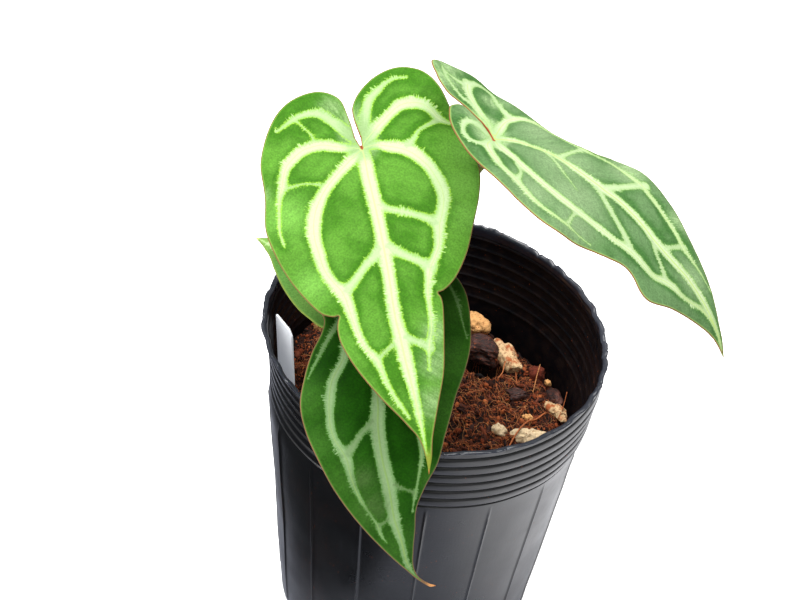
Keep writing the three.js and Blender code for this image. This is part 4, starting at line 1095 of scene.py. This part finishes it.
# A blade is flat and plain unless its own values say otherwise. Angles are in degrees. A wave is
# its side, height, place along the blade and reach, and a spot is u, v and its reach. The margins
# run from the joint round each side to the tip, and the colours are in the order of leaf_colours.
# A vein is its points, how strongly it shows, and the side of its run that has the longer teeth:
# 1 for left, -1 for right, 0 for both alike. Its points are u, v and the half width of its band to
# the left, then to the right where that differs, as on a plan with u to the right and v upwards.
plain_blade = dict(roll=0, tip_droop=0, lobe_bend=0, twist=0, fold=0, curl=0, waves=[], painted_sheen_spots=[],
                   slot="leaf")
leaves = {
    "front": dict(
        plain_blade, finish="front_leaf", joint=(-31.1, 1.3, 202), heading=-71, dip=19, roll=6, length=110,
        droop=24, tip_droop=4, fold=7, curl=-0.002, ripple=0.8, ripple_rate=0.26,
        waves=[(-1, -3, 61, 7), (1, -3, 57, 7)], tip_length=7.5,
        painted_light_spots=[(-28, 22, 7), (-24, 46, 6), (30, 30, 6), (33, 8, 6), (31, 19, 7)],
        painted_sheen_spots=[(12, 66, 5), (11, 76, 6), (8, 88, 6), (-35, 14, 3), (-7, -16, 5)],
        left_margin=[(-1.4, -4), (-2.2, -12), (-4.1, -19.8), (-9.2, -22.9), (-15.2, -22.5), (-22.2, -18.8),
            (-29, -9.8), (-33.4, 1.9), (-34, 15), (-35.4, 26), (-33.3, 37), (-28, 48), (-22.8, 55.2),
            (-20.7, 56.4), (-18.8, 56.9), (-17.2, 56.8), (-17.8, 58.5), (-18.3, 61), (-18, 65), (-15, 73),
            (-8.8, 83.3), (-1.9, 92.4), (1.6, 98), (2.8, 104), (3, 109)],
        right_margin=[(0.3, -3.8), (-0.2, -8), (-0.6, -12), (-0.3, -16.3), (2.5, -21.1), (8.9, -26.4),
            (17, -28.7), (24.1, -26.2), (29, -19), (31.7, -9), (34.4, 3), (36, 14), (33.8, 23.5),
            (30.1, 33), (26.2, 42.1), (21.2, 49.6), (18.2, 52.2), (16.4, 53.2), (14.8, 53.6), (15.5, 54.9),
            (15.8, 57.2), (15.4, 61), (13.9, 70), (12.2, 79), (8.8, 89), (5.8, 98), (4.6, 104), (3, 109)],
        colours=[(46, 89, 17), (67, 110, 34), (85, 130, 51), (151, 169, 127), (124, 156, 90),
            (120, 160, 48), (146, 166, 98), (112, 84, 52), (104, 134, 58), (102, 128, 80), (104, 112, 40)],
        fringe=1.0, heart=0.9, under=((88, 118, 68), (140, 150, 100)),
        veins=[
            ([(0, 0, 1.6), (0.2, 5, 2.5, 2.4), (0.1, 10, 2.7, 2.5), (0.4, 20, 2.4), (0.6, 30, 2.3, 2.2),
              (0.6, 44, 2.3, 2.1), (0.3, 59.5, 2.3, 2.1), (0.7, 65, 2.4), (1.1, 72, 2.3, 2.5),
              (1.6, 78, 1.8, 2.1), (2.1, 84, 1.3, 1.6), (2.5, 90, 0.9, 1.2), (2.8, 95, 0.5, 0.7),
              (3, 100, 0.3), (3, 107, 0.1)], 1, 0),
            ([(-0.6, 0.8, 1.2, 1.6), (-3.6, 3.4, 1.7, 2.1), (-9.2, 8.8, 1.5, 1.9), (-14.8, 14.8, 1.7, 1.9),
              (-18.9, 21.8, 2.4), (-20.7, 29.7, 2.4, 2.2), (-20.2, 36.5, 2.3, 2), (-19.2, 42, 2.1, 1.7),
              (-17, 46.2, 2.3, 1.4), (-15, 49.3, 2.6, 1.9), (-14, 53.5, 1.9, 2.1), (-13.4, 57.5, 1.5, 1.8),
              (-11.9, 64.7, 1.1, 1.3), (-10.3, 68.4, 1.2, 1.1), (-8, 71.6, 1.5, 1.2), (-6.9, 75.2, 1.2, 1),
              (-5.9, 79.2, 0.9, 0.7), (-4.5, 83.1, 0.7, 0.6), (-2.7, 86.9, 0.7, 0.6),
              (-0.6, 91, 0.5, 0.4)], 0.9, 1),
            ([(-0.9, 0, 1.2), (-4.8, -0.3, 1.5, 1.8), (-8.8, -1.2, 1.9, 2.2), (-12.6, -2.1, 2, 2.3),
              (-16.2, -1.8, 1.9, 2.2), (-19.7, -0.6, 2, 2.2), (-22.8, 1.9, 2), (-25.4, 4.9, 1.8, 1.7),
              (-27, 8.6, 1.5, 1.4), (-28.1, 12.4, 1.4), (-29.5, 16.2, 1, 0.8), (-30.2, 20.1, 0.7, 0.5),
              (-30.8, 24.1, 0.5), (-31.2, 28, 0.35, 0.4), (-30.6, 33, 0.2)], 0.8, 1),
            ([(-0.6, -2.4, 1.2), (-3.2, -5, 2.3, 2), (-5.8, -8.2, 2.3, 2), (-8.6, -11.2, 1.9, 1.6),
              (-11.7, -13.9, 1.8, 1.6), (-15.2, -14.3, 1.2, 1.3), (-19.1, -13.2, 1),
              (-22.5, -11.2, 0.8, 0.7), (-26, -8.9, 0.3)], 0.5, 1),
            ([(0.8, 0, 1.1, 1.2), (4.8, -0.1, 1.5), (8.3, 1.2, 2.2, 2.1), (12.2, 2.9, 2.1, 2.4),
              (15.5, 5.3, 2.1, 2.6), (18.1, 8.5, 1.9, 2.5), (20.2, 12, 1.8, 2.4), (22.3, 19.8, 2.1, 2.4),
              (22.1, 23.8, 2, 2.1), (21, 27.6, 2, 1.8), (19.3, 31.5, 2.2, 1.9), (18.6, 35.2, 1.9, 1.7),
              (17.6, 39, 1.5), (15.7, 42.4, 1.3, 1.5), (13.6, 45.8, 1.7, 1.6), (12.5, 49.5, 1.3),
              (11.7, 53.4, 1.1), (11.4, 57.4, 0.8, 0.9), (11.2, 61.4, 0.8, 0.9), (10.6, 65.4, 0.9, 1),
              (9.4, 69, 1), (8.6, 73, 0.5), (8, 77, 0.2)], 0.9, -1),
            ([(0.4, -1.2, 1.6), (3.1, -3.9, 2.4), (6, -6.5, 2.1, 2.2), (8.9, -9, 1.9),
              (11.8, -11.5, 1.9, 1.8), (14.9, -13.6, 2.2, 2.3), (18.7, -14, 2.2), (22.3, -12.9, 2.2, 2),
              (24.7, -10.2, 1.7, 1.5), (26.4, -7, 1.5, 1.4), (28.6, -4.6, 1, 0.8), (31, -3, 0.3)], 0.8, -1),
            ([(0.6, -3, 1, 1.1), (2, -7, 1.5, 1.9), (3.1, -10.6, 1.5, 2), (4.2, -14.3, 1.5, 1.8),
              (5.8, -17.9, 1.5), (8.6, -20.5, 1.4, 1.1), (11.6, -22.7, 0.9, 0.8), (15.1, -24, 0.5),
              (19, -23.6, 0.25)], 0.5, -1),
            ([(-16, 12.7, 0.5, 0.4), (-21.2, 12, 0.25), (-26.5, 12.9, 0.5)], 0.4, 0),
            ([(-20.5, -12.6, 0.5, 0.4), (-18.5, -10.3, 0.3, 0.25), (-17.2, -8.4, 0.2),
              (-15.8, -6.4, 0.25, 0.3), (-15.1, -4.1, 0.5, 0.6)], 0.4, 0),
            ([(-0.3, 36.3, 2, 2.2), (-3.2, 38.9, 1.4, 1.8), (-6.1, 41.4, 1.1, 1.5), (-8.8, 44.2, 1, 1.5),
              (-11.5, 47, 1.2, 1.7), (-14.6, 49.6, 1.8, 2.2)], 0.6, 0),
            ([(-0.5, 67, 0.7, 0.6), (-4.9, 70, 0.4), (-8.1, 72.9, 0.8)], 0.5, 0),
            ([(1, 21, 1.6), (4.3, 23.5, 1.2, 1.1), (9.5, 25.9, 1, 1.2), (15.4, 28.9, 1.3, 1.4),
              (18.9, 31.1, 2)], 0.6, 0),
            ([(1.2, 36.1, 1.8, 2.2), (5.8, 39.6, 1.3, 1.6), (10.8, 43, 1.3, 1.6), (13.8, 45.5, 2)], 0.6, 0),
            ([(1.3, 66, 1.4, 1.8), (5.6, 68.2, 1, 1.2), (9.4, 70.9, 1.2, 1.4)], 0.5, 0),
            ([(14.2, 2.8, 2), (16.9, 0.1, 0.9, 0.8), (19.2, -2.8, 0.6, 0.5), (22.3, -4.4, 0.9, 0.6),
              (25.8, -5.8, 1.3, 1.1)], 0.5, 0)]),
    "lower": dict(
        plain_blade, finish="lower_leaf", joint=(-23.8, -32.3, 168), heading=-67, dip=22, roll=2, length=99,
        droop=56, lobe_bend=20, twist=-10, fold=-4, ripple=0.8, ripple_rate=0.3, waves=[(-1, -5, 0, 12)],
        tip_length=4.5,
        painted_light_spots=[(-25, 30, 8), (-24, 44, 8), (-19, 57, 9), (-12, 68, 10), (-3, 82, 9), (28, 6, 11),
                    (25, 24, 10), (20, 40, 8), (11, 62, 5), (-20, 8, 6)],
        painted_sheen_spots=[(-8, 66, 6), (-11, 57, 5)],
        left_margin=[(-1, -4), (-2, -12), (-5, -18.5), (-10, -18.5), (-15, -13), (-16.5, -7), (-15, -1),
            (-14, 4.5), (-16, 9), (-20, 14.5), (-24, 22.2), (-27.2, 31), (-26.6, 40), (-24.4, 49),
            (-21.4, 57.2), (-17, 66), (-12, 74), (-6.9, 81), (-3, 86), (1.3, 91.2), (4, 94.6), (6.3, 97.2),
            (8, 98.9), (9.9, 100.6), (12, 101)],
        right_margin=[(0.6, -4), (1.6, -12), (5, -19), (12, -22), (20, -20), (27, -14), (32, -6), (34, 5),
            (33, 15), (28.2, 27.9), (23.1, 37), (18.3, 47.1), (14.5, 56.3), (9.3, 63.2), (5.6, 69.9),
            (4.6, 77), (3.6, 84), (3.5, 90), (5, 94.2), (7, 96.8), (8.6, 98.4), (10.2, 99.8), (12, 101)],
        # The lower blade's colours are darker than the front blade's, partly its own deeper green and
        # partly painted shade from the front blade above it.
        colours=[(10, 45, 0), (18, 57, 3), (37, 72, 18), (106, 130, 90), (84, 116, 68), (54, 98, 24),
            (104, 130, 66), (110, 84, 58), (66, 100, 38), (48, 72, 32), (176, 124, 76)],
        fringe=0.5, heart=0.8, under=((70, 100, 56), (128, 138, 92)),
        veins=[
            ([(0, 0, 1), (-1, 15, 1.6), (-2.5, 31.8, 1.8, 1.6), (-2.9, 35.8, 2.3, 2.1),
              (-3.8, 40.5, 2.5, 2.3), (-4.2, 47.7, 2.5, 2.3), (-4, 53, 2.4, 2.3), (-3.2, 59.7, 2.4, 2.3),
              (-2.3, 71.6, 2.1, 1.8), (-1.4, 75.5, 1.8, 1.4), (-0.4, 80, 1.4, 1.1), (1, 87.4, 1.1, 0.8),
              (3.2, 92.3, 0.7, 0.5), (6, 96.3, 0.1)], 1, 0),
            ([(-0.8, 0.8, 0.8), (-6, 8, 1.3), (-9.5, 14.2, 1.4, 1.2), (-10.8, 18.4, 1.2, 1.5),
              (-15.5, 24.5, 1.4, 1.8), (-17, 27.8, 1.5, 1.9), (-18, 31.5, 1.7, 1.9),
              (-18.6, 35.4, 1.3, 1.5), (-18.8, 39.4, 1.5), (-18.2, 43.3, 1.3, 1.2), (-16.6, 47, 1.5, 1.4),
              (-15.3, 50.7, 1.8), (-14.9, 54.7, 1.4, 1.3), (-14.1, 58.7, 1.1, 0.9), (-13, 62.5, 0.8),
              (-11.4, 66.1, 0.45, 0.5), (-9.6, 69.6, 0.4), (-7.9, 73, 0.6), (-7.2, 76, 0.5, 0.6),
              (-5.5, 79, 0.15)], 0.9, 1),
            ([(-1, 0, 0.7), (-7, 3.4, 1), (-10.7, 7.1, 0.7, 1.1), (-15.8, 13.1, 0.5, 0.7),
              (-18.2, 16.4, 0.5, 0.6), (-20.7, 19.7, 0.35), (-23, 23, 0.15)], 0.6, 1),
            ([(0.8, 0.5, 0.8), (6, 5, 1.2), (9, 14, 1.2), (8, 24, 1.1), (6.3, 34, 0.9, 1),
              (5.6, 37.8, 1.2, 1.1), (6.5, 41.7, 1, 0.9), (8.4, 45.4, 0.6), (9.2, 49.3, 0.9, 1),
              (9, 53.6, 0.8, 0.9), (7.8, 57.3, 0.5, 0.7), (6.6, 61.2, 0.4, 0.5), (5.4, 65, 0.5),
              (4, 70, 0.2)], 0.9, -1),
            ([(0.8, -1, 0.7), (10, -8, 1.1), (20, -11, 1), (27.6, -5, 1.1), (29.4, 1, 0.5, 0.6),
              (30.4, 8, 0.4), (30.6, 18, 0.2)], 0.6, -1),
            ([(-0.8, -1.5, 0.6), (-5, -9, 0.8), (-10, -13, 0.6), (-13, -10, 0.2)], 0.5, 1),
            ([(-3, 38, 1.6), (-6.2, 40.6, 1.2), (-9.5, 43, 1.1, 1), (-12.4, 46, 1.2, 1.3),
              (-15.7, 48.8, 1.8, 2)], 0.6, 0),
            ([(-2.8, 59.6, 1.2), (0.9, 62, 0.5, 0.4), (4, 63.6, 0.5), (5.6, 65.2, 0.5)], 0.4, 0),
            ([(-1.6, 70.5, 1), (-5, 71.6, 0.5), (-8, 73.4, 0.7)], 0.4, 0),
            ([(0, 18, 1), (4, 22, 0.9), (8, 26, 1.1)], 0.4, 0)]),
    "right": dict(
        plain_blade, finish="right_leaf", joint=(10.1, -9.8, 220), heading=-17, dip=5, roll=-9, length=101,
        droop=38, tip_droop=16, lobe_bend=-75, twist=22, ripple=0.9, ripple_rate=0.28, tip_length=2.5,
        painted_light_spots=[(6, 22, 12), (-8, 30, 12), (-18, 20, 9), (-22, 36, 9), (16, 10, 8), (20, 40, 7),
                    (0, 76, 6)],
        painted_sheen_spots=[(18, -25, 7), (24, -27, 6), (22, -8, 5), (22, 40, 5), (16, 62, 5)],
        left_margin=[(3.95, -3.45), (6.9, -6.65), (9.35, -10.6), (10.75, -13.9), (10.3, -16.1),
            (8.7, -17.2), (6.3, -18), (2.3, -16.7), (-3.8, -13.2), (-11, -6.5), (-17.6, 1.9), (-23.9, 11.5),
            (-27, 21), (-30.8, 30), (-29.2, 37), (-25.5, 44), (-22.9, 50.8), (-20.8, 56), (-20.9, 60),
            (-22.2, 64), (-22, 68.5), (-15.5, 76.9), (-9.1, 87), (-5.4, 95), (-4, 102.5)],
        right_margin=[(4.1, -3.3), (7.1, -6.5), (9.5, -10.5), (11, -14), (11.6, -17.3), (12.1, -21),
            (14.8, -25.3), (18.1, -28.5), (22.8, -32.2), (26.6, -29.8), (28.2, -22.5), (29.5, -15),
            (28.3, -6.4), (23.6, 2), (20.9, 10.8), (19, 20), (20, 28.2), (23.3, 34.2), (24.7, 41),
            (23.4, 47.8), (20.2, 57), (12.5, 67.7), (6.7, 79), (1, 90), (-2.6, 99), (-4, 102.5)],
        # The right blade's greyer cell colours are partly its own and partly a painted sheen, as it is seen
        # at a low angle.
        colours=[(48, 82, 38), (74, 101, 63), (96, 118, 82), (146, 160, 126), (122, 144, 96), (84, 122, 52),
            (134, 158, 66), (112, 82, 50), (116, 140, 76), (120, 142, 100), (104, 112, 58)],
        fringe=0.7, heart=0.8, under=((88, 118, 68), (140, 150, 100)),
        veins=[
            ([(0.4, -0.3, 1), (2.7, 3, 1.3, 1.5), (4.6, 6.5, 1.3, 1.4), (5.6, 10.4, 0.9, 1),
              (6.4, 14.3, 0.9, 1), (6.7, 18.3, 1), (6.3, 22.3, 1.4, 1.3), (5.7, 26.2, 1.8, 1.6),
              (4.7, 34, 2, 1.8), (4.1, 38.5, 1.9), (4, 42, 1.6, 1.8), (2.4, 49.8, 1.5, 1.9),
              (1.4, 53.6, 1.5, 1.7), (0.1, 57.4, 1.8, 1.9), (-0.7, 61.4, 2, 1.9), (-1.2, 67, 2, 1.9),
              (-1.1, 73.3, 1.6, 1.7), (-1.7, 81, 1.5, 1.7), (-2.4, 89.2, 1.2, 1.4), (-3.5, 97, 0.7),
              (-4.2, 101, 0.3)], 1, 0),
            ([(0.9, -0.2, 1), (4.8, -0.6, 1.8, 1.6), (8.8, -0.8, 1.8), (12.9, -0.6, 1.4, 1.5),
              (16.6, 0.9, 1.6), (19.2, 4, 1.2), (20.1, 8, 0.9, 0.7), (19.4, 12.5, 0.6, 0.5),
              (18.2, 18.6, 0.5, 0.4), (17.9, 22.5, 0.6, 0.5), (18, 26.7, 0.7, 0.5), (19, 30.7, 0.6, 0.5),
              (19.8, 34.6, 0.6, 0.7), (19.4, 38.7, 0.7, 1), (18.5, 42.4, 1, 1.2), (17.8, 46.3, 1.1, 0.8),
              (16.2, 49.5, 1.2, 0.9), (14.8, 52.9, 1.1, 1), (12.9, 56.5, 0.8, 0.9), (9.2, 63.6, 0.8, 1),
              (7.1, 67.1, 0.9, 0.8), (6, 71, 0.7, 0.6), (5, 76, 0.4), (3.6, 83, 0.2)], 0.9, -1),
            ([(-0.4, 0.4, 1.2), (-3.3, 3.2, 1.9, 2.1), (-4.9, 6.4, 1.3, 1.8), (-6.9, 9.9, 1.2, 1.7),
              (-8.9, 13.3, 1.6, 1.9), (-10.4, 17.1, 1.3, 1.8), (-12.9, 24.6, 1.6, 1.8), (-14.1, 28.5, 1.9),
              (-14.7, 32.5, 1.9, 1.7), (-14.3, 44.7, 1.7, 1.4), (-14.2, 48.8, 1.6, 1.2),
              (-13.6, 52.7, 1.9, 1.8), (-13.3, 56.7, 1.8, 1.7), (-13.5, 60.8, 1.6, 1.5),
              (-13, 65.1, 1.5, 1.1), (-10.9, 68.5, 1.7, 1.5), (-9.4, 72.2, 1.6, 1.4),
              (-8.6, 76.1, 1.3, 0.9), (-7, 79.9, 1, 0.9), (-4.8, 83.6, 0.8, 0.9), (-3.6, 88, 0.6, 0.7),
              (-3.2, 93, 0.3)], 0.9, 1),
            ([(-0.6, -0.6, 1.2), (-4.7, -0.7, 1.7), (-8, 1.5, 1.4), (-11, 4.3, 1.5, 1.3),
              (-14, 7.3, 1.4, 1.1), (-18.1, 14.4, 1.5, 1.2), (-20.1, 18.1, 1.4, 1.1),
              (-21.8, 21.8, 1.2, 0.9), (-23.4, 25.6, 1, 0.8), (-24.5, 29.6, 0.9, 0.7),
              (-24.9, 33.8, 0.6, 0.5), (-24.8, 38, 0.3), (-24, 43, 0.2)], 0.8, 1),
            ([(1.2, -0.9, 0.6), (5.2, -3, 0.7, 0.5), (8.6, -5.4, 0.9, 0.7), (11, -8.4, 1.3, 1.4),
              (13.6, -11.1, 1.3, 1.4), (16.4, -13.9, 1.3, 1.5), (19.3, -16.7, 1.6, 1.8),
              (22.6, -18.4, 1.8)], 0.8, -1),
            ([(22.8, -18.3, 1.7, 1.6), (25.6, -16.5, 1.2, 1), (27, -13.2, 0.8, 0.7), (26.4, -9.9, 0.9, 0.8),
              (23.8, -7.8, 0.8, 0.6), (21, -5.3, 0.8), (18.2, -2.6, 1.2, 1.3), (16.1, 0.5, 1.6)], 0.5, -1),
            ([(13.2, -11, 1.3), (13.8, -13.6, 0.9), (14, -16.7, 0.6, 0.7), (15, -19.2, 0.4, 0.5),
              (17.6, -23.5, 0.3, 0.4), (19.3, -25.6, 0.3, 0.4), (21.7, -27.6, 0.4, 0.3),
              (23.4, -28.7, 0.2)], 0.4, 0),
            ([(21.3, -18.3, 1.2), (20.7, -21.1, 0.7, 0.8), (20.8, -24.3, 0.4), (21.6, -27.1, 0.2)], 0.4, 0),
            ([(1.6, -3, 1), (3.9, -6, 1.3, 1.4), (4.4, -9.1, 1.3, 1.5), (2.4, -11, 1.1, 1.3),
              (-1, -10.7, 0.8, 1), (-4.5, -9, 0.9, 1), (-6.4, -6, 1, 0.9), (-5.6, -2.3, 1.2),
              (-2.6, -0.6, 1.4)], 0.5, 1),
            ([(6.5, 20, 0.9), (10.8, 21.4, 0.8, 0.7), (14.8, 23.2, 0.7, 0.6),
              (18.2, 25.3, 0.9, 0.8)], 0.5, 0),
            ([(4.6, 36.4, 1.5), (7.9, 39.1, 1.5, 1.3), (11.4, 41.6, 1.3, 1.2), (15, 44.2, 1.3),
              (18.3, 46.8, 1.4)], 0.5, 0),
            ([(-0.2, 62.4, 1), (2.3, 64, 0.8, 0.7), (4.8, 65.6, 0.9, 0.8), (7.4, 67.4, 1.1, 1)], 0.4, 0),
            ([(4, 33.6, 1.2, 0.9), (0.9, 37.5, 1.1, 0.9), (-4, 43.1, 1.2, 1), (-8.5, 49, 1.2, 1.1),
              (-12, 53.2, 1.3)], 0.4, 0),
            ([(1.1, 55.5, 1.3, 1.4), (-0.8, 57.9, 1.2, 1.3), (-2.9, 59.8, 1), (-4.9, 61.4, 0.7, 0.5),
              (-8.1, 66, 0.7), (-9.8, 68.2, 0.9, 1)], 0.4, 0),
            ([(5.6, 16.7, 0.9, 0.8), (2.7, 20.7, 0.5, 0.4), (-0.5, 24.5, 0.3), (-5.2, 30.4, 0.15)], 0.2, 0),
            ([(-8.8, 10.5, 0.6), (-12.4, 13.1, 0.5, 0.6), (-14.8, 13.5, 0.8, 0.7),
              (-17.2, 13.4, 1.2, 1.1)], 0.3, 0),
            ([(-14.1, 34.6, 1.2), (-18.8, 33.6, 0.5), (-23.5, 33.6, 0.6)], 0.3, 0)]),
    "back": dict(
        plain_blade, finish="young_leaf", joint=(-29.8, 0.5, 144), heading=155, dip=-8, length=46, droop=22,
        fold=5, ripple=0.5, ripple_rate=0.4, tip_length=1.8, slot="young_leaf",
        painted_light_spots=[(14, 4, 8), (-10, 10, 6), (-3, 41, 12)],
        left_margin=[(-0.7, -2), (-1.3, -6), (-4, -9), (-8, -8.5), (-12, -4), (-14, 3), (-14, 12),
            (-12, 21), (-9.5, 29), (-6, 36), (-4.5, 39.5), (-3.7, 42)],
        right_margin=[(0.7, -2), (2, -7), (6, -11.5), (13, -12.5), (20, -9.5), (25, -3.2), (24.5, 3),
            (21.9, 9.2), (17.6, 16.4), (10, 25), (3, 32), (-0.8, 37), (-2.6, 40), (-3.7, 42)],
        colours=[(60, 98, 40), (76, 118, 52), (94, 128, 58), (150, 168, 128), (130, 156, 100),
            (112, 146, 72), (150, 166, 96), (112, 128, 56), (96, 122, 60), (124, 148, 98), (164, 176, 104)],
        fringe=0.5, heart=0.6, under=((96, 124, 74), (146, 156, 106)),
        veins=[
            ([(0, 0, 0.5), (0, 15, 0.7), (-1, 30, 0.6), (-3.6, 41.5, 0.2)], 1, 0),
            ([(-0.5, 0.3, 0.4), (-5, 5, 0.5), (-8, 12, 0.5), (-7, 21, 0.4), (-4, 31, 0.2)], 0.7, 1),
            ([(0.5, 0.3, 0.4), (7, 2, 0.5), (13, 6, 0.5), (11, 14, 0.4), (5, 23, 0.3),
              (0, 32, 0.1)], 0.7, -1),
            ([(0.8, -1.5, 0.3), (7, -6, 0.5), (14, -6, 0.4), (18, -1, 0.2)], 0.5, -1),
            ([(-0.8, -1, 0.3), (-4.5, -4, 0.3), (-9, -3, 0.3), (-11, 3, 0.1)], 0.4, 1),
            ([(0, 16, 0.3), (5, 18, 0.3), (9, 17, 0.3)], 0.3, 0)])}

for name, leaf in leaves.items():
    blade_sheet(name, leaf)


# Stalks
# Each blade hangs on one slender round stalk, green above and browner towards its base, with a
# swollen joint just under the blade that turns it to the light.

sheath_length, stalk_gap, stalk_radius, stalk_sides, stalk_step = 13, 0.3, 1.5, 18, 0.8
foot_swell, joint_swell = 0.9, 0.5
routes = {
    "front": [(-8, 6, 97), (-8.5, 9, 108), (-9, 12.5, 130), (-14, 13, 160), (-23, 10, 183)],
    "lower": [(-8, 2, 97), (-8.5, -1.5, 108), (-12, -8, 125), (-18, -18, 143)],
    "right": [(-6, 4, 97), (-2.5, 4, 108), (-1, 8, 130), (2, 13, 165), (5.6, 13, 188), (9.4, 3, 203)],
    "back": [(-10, 4, 97), (-14, 4, 108), (-21, 2.5, 119), (-28, 1.5, 130)]}

stalk_finish, tree = finish_of("stalk_skin", {"Roughness": 0.5, "Specular IOR Level": 0.4})
place = object_place(tree)
rise = marked(tree, "rise")
drawn_out = node(tree, "Mapping", {"Vector": place, "Scale": (900, 900, 60)}).outputs["Vector"]
streaks = speckle(tree, drawn_out, 1.0, 3)
dots = speckle(tree, place, 1100, 2)
skin = mixed(tree, between(tree, rise, 0.1, 0.7), paint(98, 66, 36), paint(92, 104, 44))
skin = mixed(tree, between(tree, rise, 0.86, 0.97), skin, paint(146, 84, 40))
skin = mixed(tree, between(tree, streaks, 0.4, 0.7, 0, 0.5), skin, paint(112, 84, 46))
skin = mixed(tree, between(tree, dots, 0.6, 0.7, 0, 0.6), skin, paint(148, 136, 92))
coat(tree, {"Base Color": skin}, streaks, 0.35, 0.0003)

for name, leaf in leaves.items():
    origin, at_joint = np.zeros(1), np.array([0.5])
    normal = blade_normals(leaf, origin, at_joint)[0]
    rib_bottom = on_blade(leaf, origin, origin)[0] + normal * (blade_half - midrib_depth)
    last_stops = [tuple(rib_bottom - normal * away) for away in (stalk_gap + 6, stalk_gap)]
    line, run = evenly(curve_through(routes[name] + last_stops, 40), stalk_step)
    line = np.vstack([line, rib_bottom + normal * 0.5])
    run = np.append(run, run[-1] + stalk_step)
    keep = run > sheath_length - 0.6
    start, run, line = sheath_length / run[-1], run[keep] / run[-1], line[keep]
    radii = stalk_radius + foot_swell * np.exp(-((run - start) / 0.1) ** 2)
    radii = radii + joint_swell * np.exp(-((run - 0.95) / 0.05) ** 2) + 0.06 * lumpiness(line, 5, 60)
    points, walls, caps = rod(line, radii, stalk_sides)
    made_piece("round_stalk_" + name, points, [walls, caps], [stalk_finish], ["stalk_" + name],
               {"rise": np.append(np.repeat(run, stalk_sides), [run[0], run[-1]])})


# Crown
# The short knobbly stem that carries the stalks in their sheaths. Its thick roots dive into the
# mix, and dry papery bracts from older leaves still cling round it.

def dress(node_name, finish):
    """Puts a finish on a CAD solid that is shown itself."""
    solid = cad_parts[node_name]
    solid.data.materials.clear()
    solid.data.materials.append(finish)
    return solid


crown_finish, tree = finish_of("crown_bark", {"Roughness": 0.8, "Specular IOR Level": 0.3})
place = object_place(tree)
bark = speckle(tree, place, 420, 4, 0.65)
stem_height = node(tree, "SeparateXYZ", {0: place}).outputs["Z"]
bark_colour = mixed(tree, between(tree, bark, 0.35, 0.65), paint(60, 44, 22), paint(116, 98, 52))
bark_colour = mixed(tree, between(tree, stem_height, 0.103, 0.113), bark_colour, paint(96, 96, 44))
bark_colour = mixed(tree, dust_on(tree, 0.7), bark_colour, paint(112, 58, 30))
coat(tree, {"Base Color": bark_colour}, bark, 0.7, 0.0006)
crown = dress("crown", crown_finish)
rounding = crown.modifiers.new("rounding", "REMESH")
rounding.mode = "VOXEL"
rounding.voxel_size = 0.0004
rounding.use_smooth_shade = True
easing = crown.modifiers.new("easing", "SMOOTH")
easing.iterations = 8

bract_finish = toned_finish("dry_bracts", [(70, 42, 22), (132, 92, 54), (150, 116, 74)],
                            {"Roughness": 0.75, "Specular IOR Level": 0.3}, grain=600)
# Each bract is the way it faces, the height of its foot, its length and its spread either side.
bracts = [(200, 95.5, 13, 75), (330, 96, 11, 70), (80, 96.5, 15, 80), (265, 98, 9, 60)]
bract_rows, bract_columns, bract_half = 16, 15, 0.14
bract_points, bract_faces, bract_tones = [], [], []
for number, (heading, base, tall, spread) in enumerate(bracts):
    part = np.linspace(0, 1, bract_rows)[:, None]
    over = np.linspace(-1, 1, bract_columns)[None, :]
    turn = np.radians(heading + over * spread * (1 - part ** 1.6) + 4 * np.sin(5 * part + number))
    out = 6.4 + 1.6 * part + 0.9 * part ** 3 + 0.25 * np.sin(9 * over + number) * part
    bract_height = np.broadcast_to(base + tall * part - 1.5 * over ** 2 * part, turn.shape)
    for shift in (bract_half, -bract_half):
        bract_points.append(np.stack([
            crown_place[0] + (out + shift) * np.cos(turn), crown_place[1] + (out + shift) * np.sin(turn),
            bract_height], axis=-1).reshape(-1, 3))
        bract_tones.append(np.repeat(0.2 + 0.2 * number + 0.2 * part.ravel(), bract_columns))
    behind = bract_rows * bract_columns
    at = number * 2 * behind + np.arange(behind).reshape(bract_rows, bract_columns)
    quads = np.stack([at[:-1, :-1], at[:-1, 1:], at[1:, 1:], at[1:, :-1]], axis=-1).reshape(-1, 4)
    loop = np.concatenate([at[0, :-1], at[:-1, -1], at[-1, :0:-1], at[:0:-1, 0]])
    after = np.roll(loop, -1)
    bract_faces += [quads, quads[:, ::-1] + behind,
                    np.stack([after, loop, loop + behind, after + behind], axis=1)]
made_piece("crown_bracts", np.concatenate(bract_points), bract_faces, [bract_finish],
           marks={"tone": np.concatenate(bract_tones)})


# Plant label
# A flat stake cut from thin white polystyrene sheet, with its edges a little softened. It is
# pushed into the mix inside the left rim. It glows faintly: painted light for the light it catches.

# Painted light: a faint white glow.
label_finish, tree = finish_of("white_polystyrene", {
    "IOR": 1.55, "Emission Color": paint(226, 232, 244), "Emission Strength": 0.25})
place = object_place(tree)
stake_height = node(tree, "SeparateXYZ", {0: place}).outputs["Z"]
uneven = maths(tree, "MULTIPLY", speckle(tree, place, 500, 3), 0.008)
soiled_end = between(tree, maths(tree, "ADD", stake_height, uneven), 0.108, 0.098)
clouds = between(tree, speckle(tree, place, 90, 3), 0.3, 0.7)
white = mixed(tree, clouds, paint(232, 234, 238), paint(240, 242, 245))
stained = maths(tree, "MAXIMUM", maths(tree, "MULTIPLY", soiled_end, 0.6), dust_on(tree, 0.25))
white = mixed(tree, stained, white, paint(120, 70, 42))
scuffed = between(tree, speckle(tree, place, 260, 3), 0.3, 0.7, 0.3, 0.45)
coat(tree, {"Base Color": white, "Roughness": scuffed})
label = dress("plant_label", label_finish)
soft_edge = label.modifiers.new("soft_edge", "BEVEL")
soft_edge.width = 0.00018
soft_edge.segments = 2
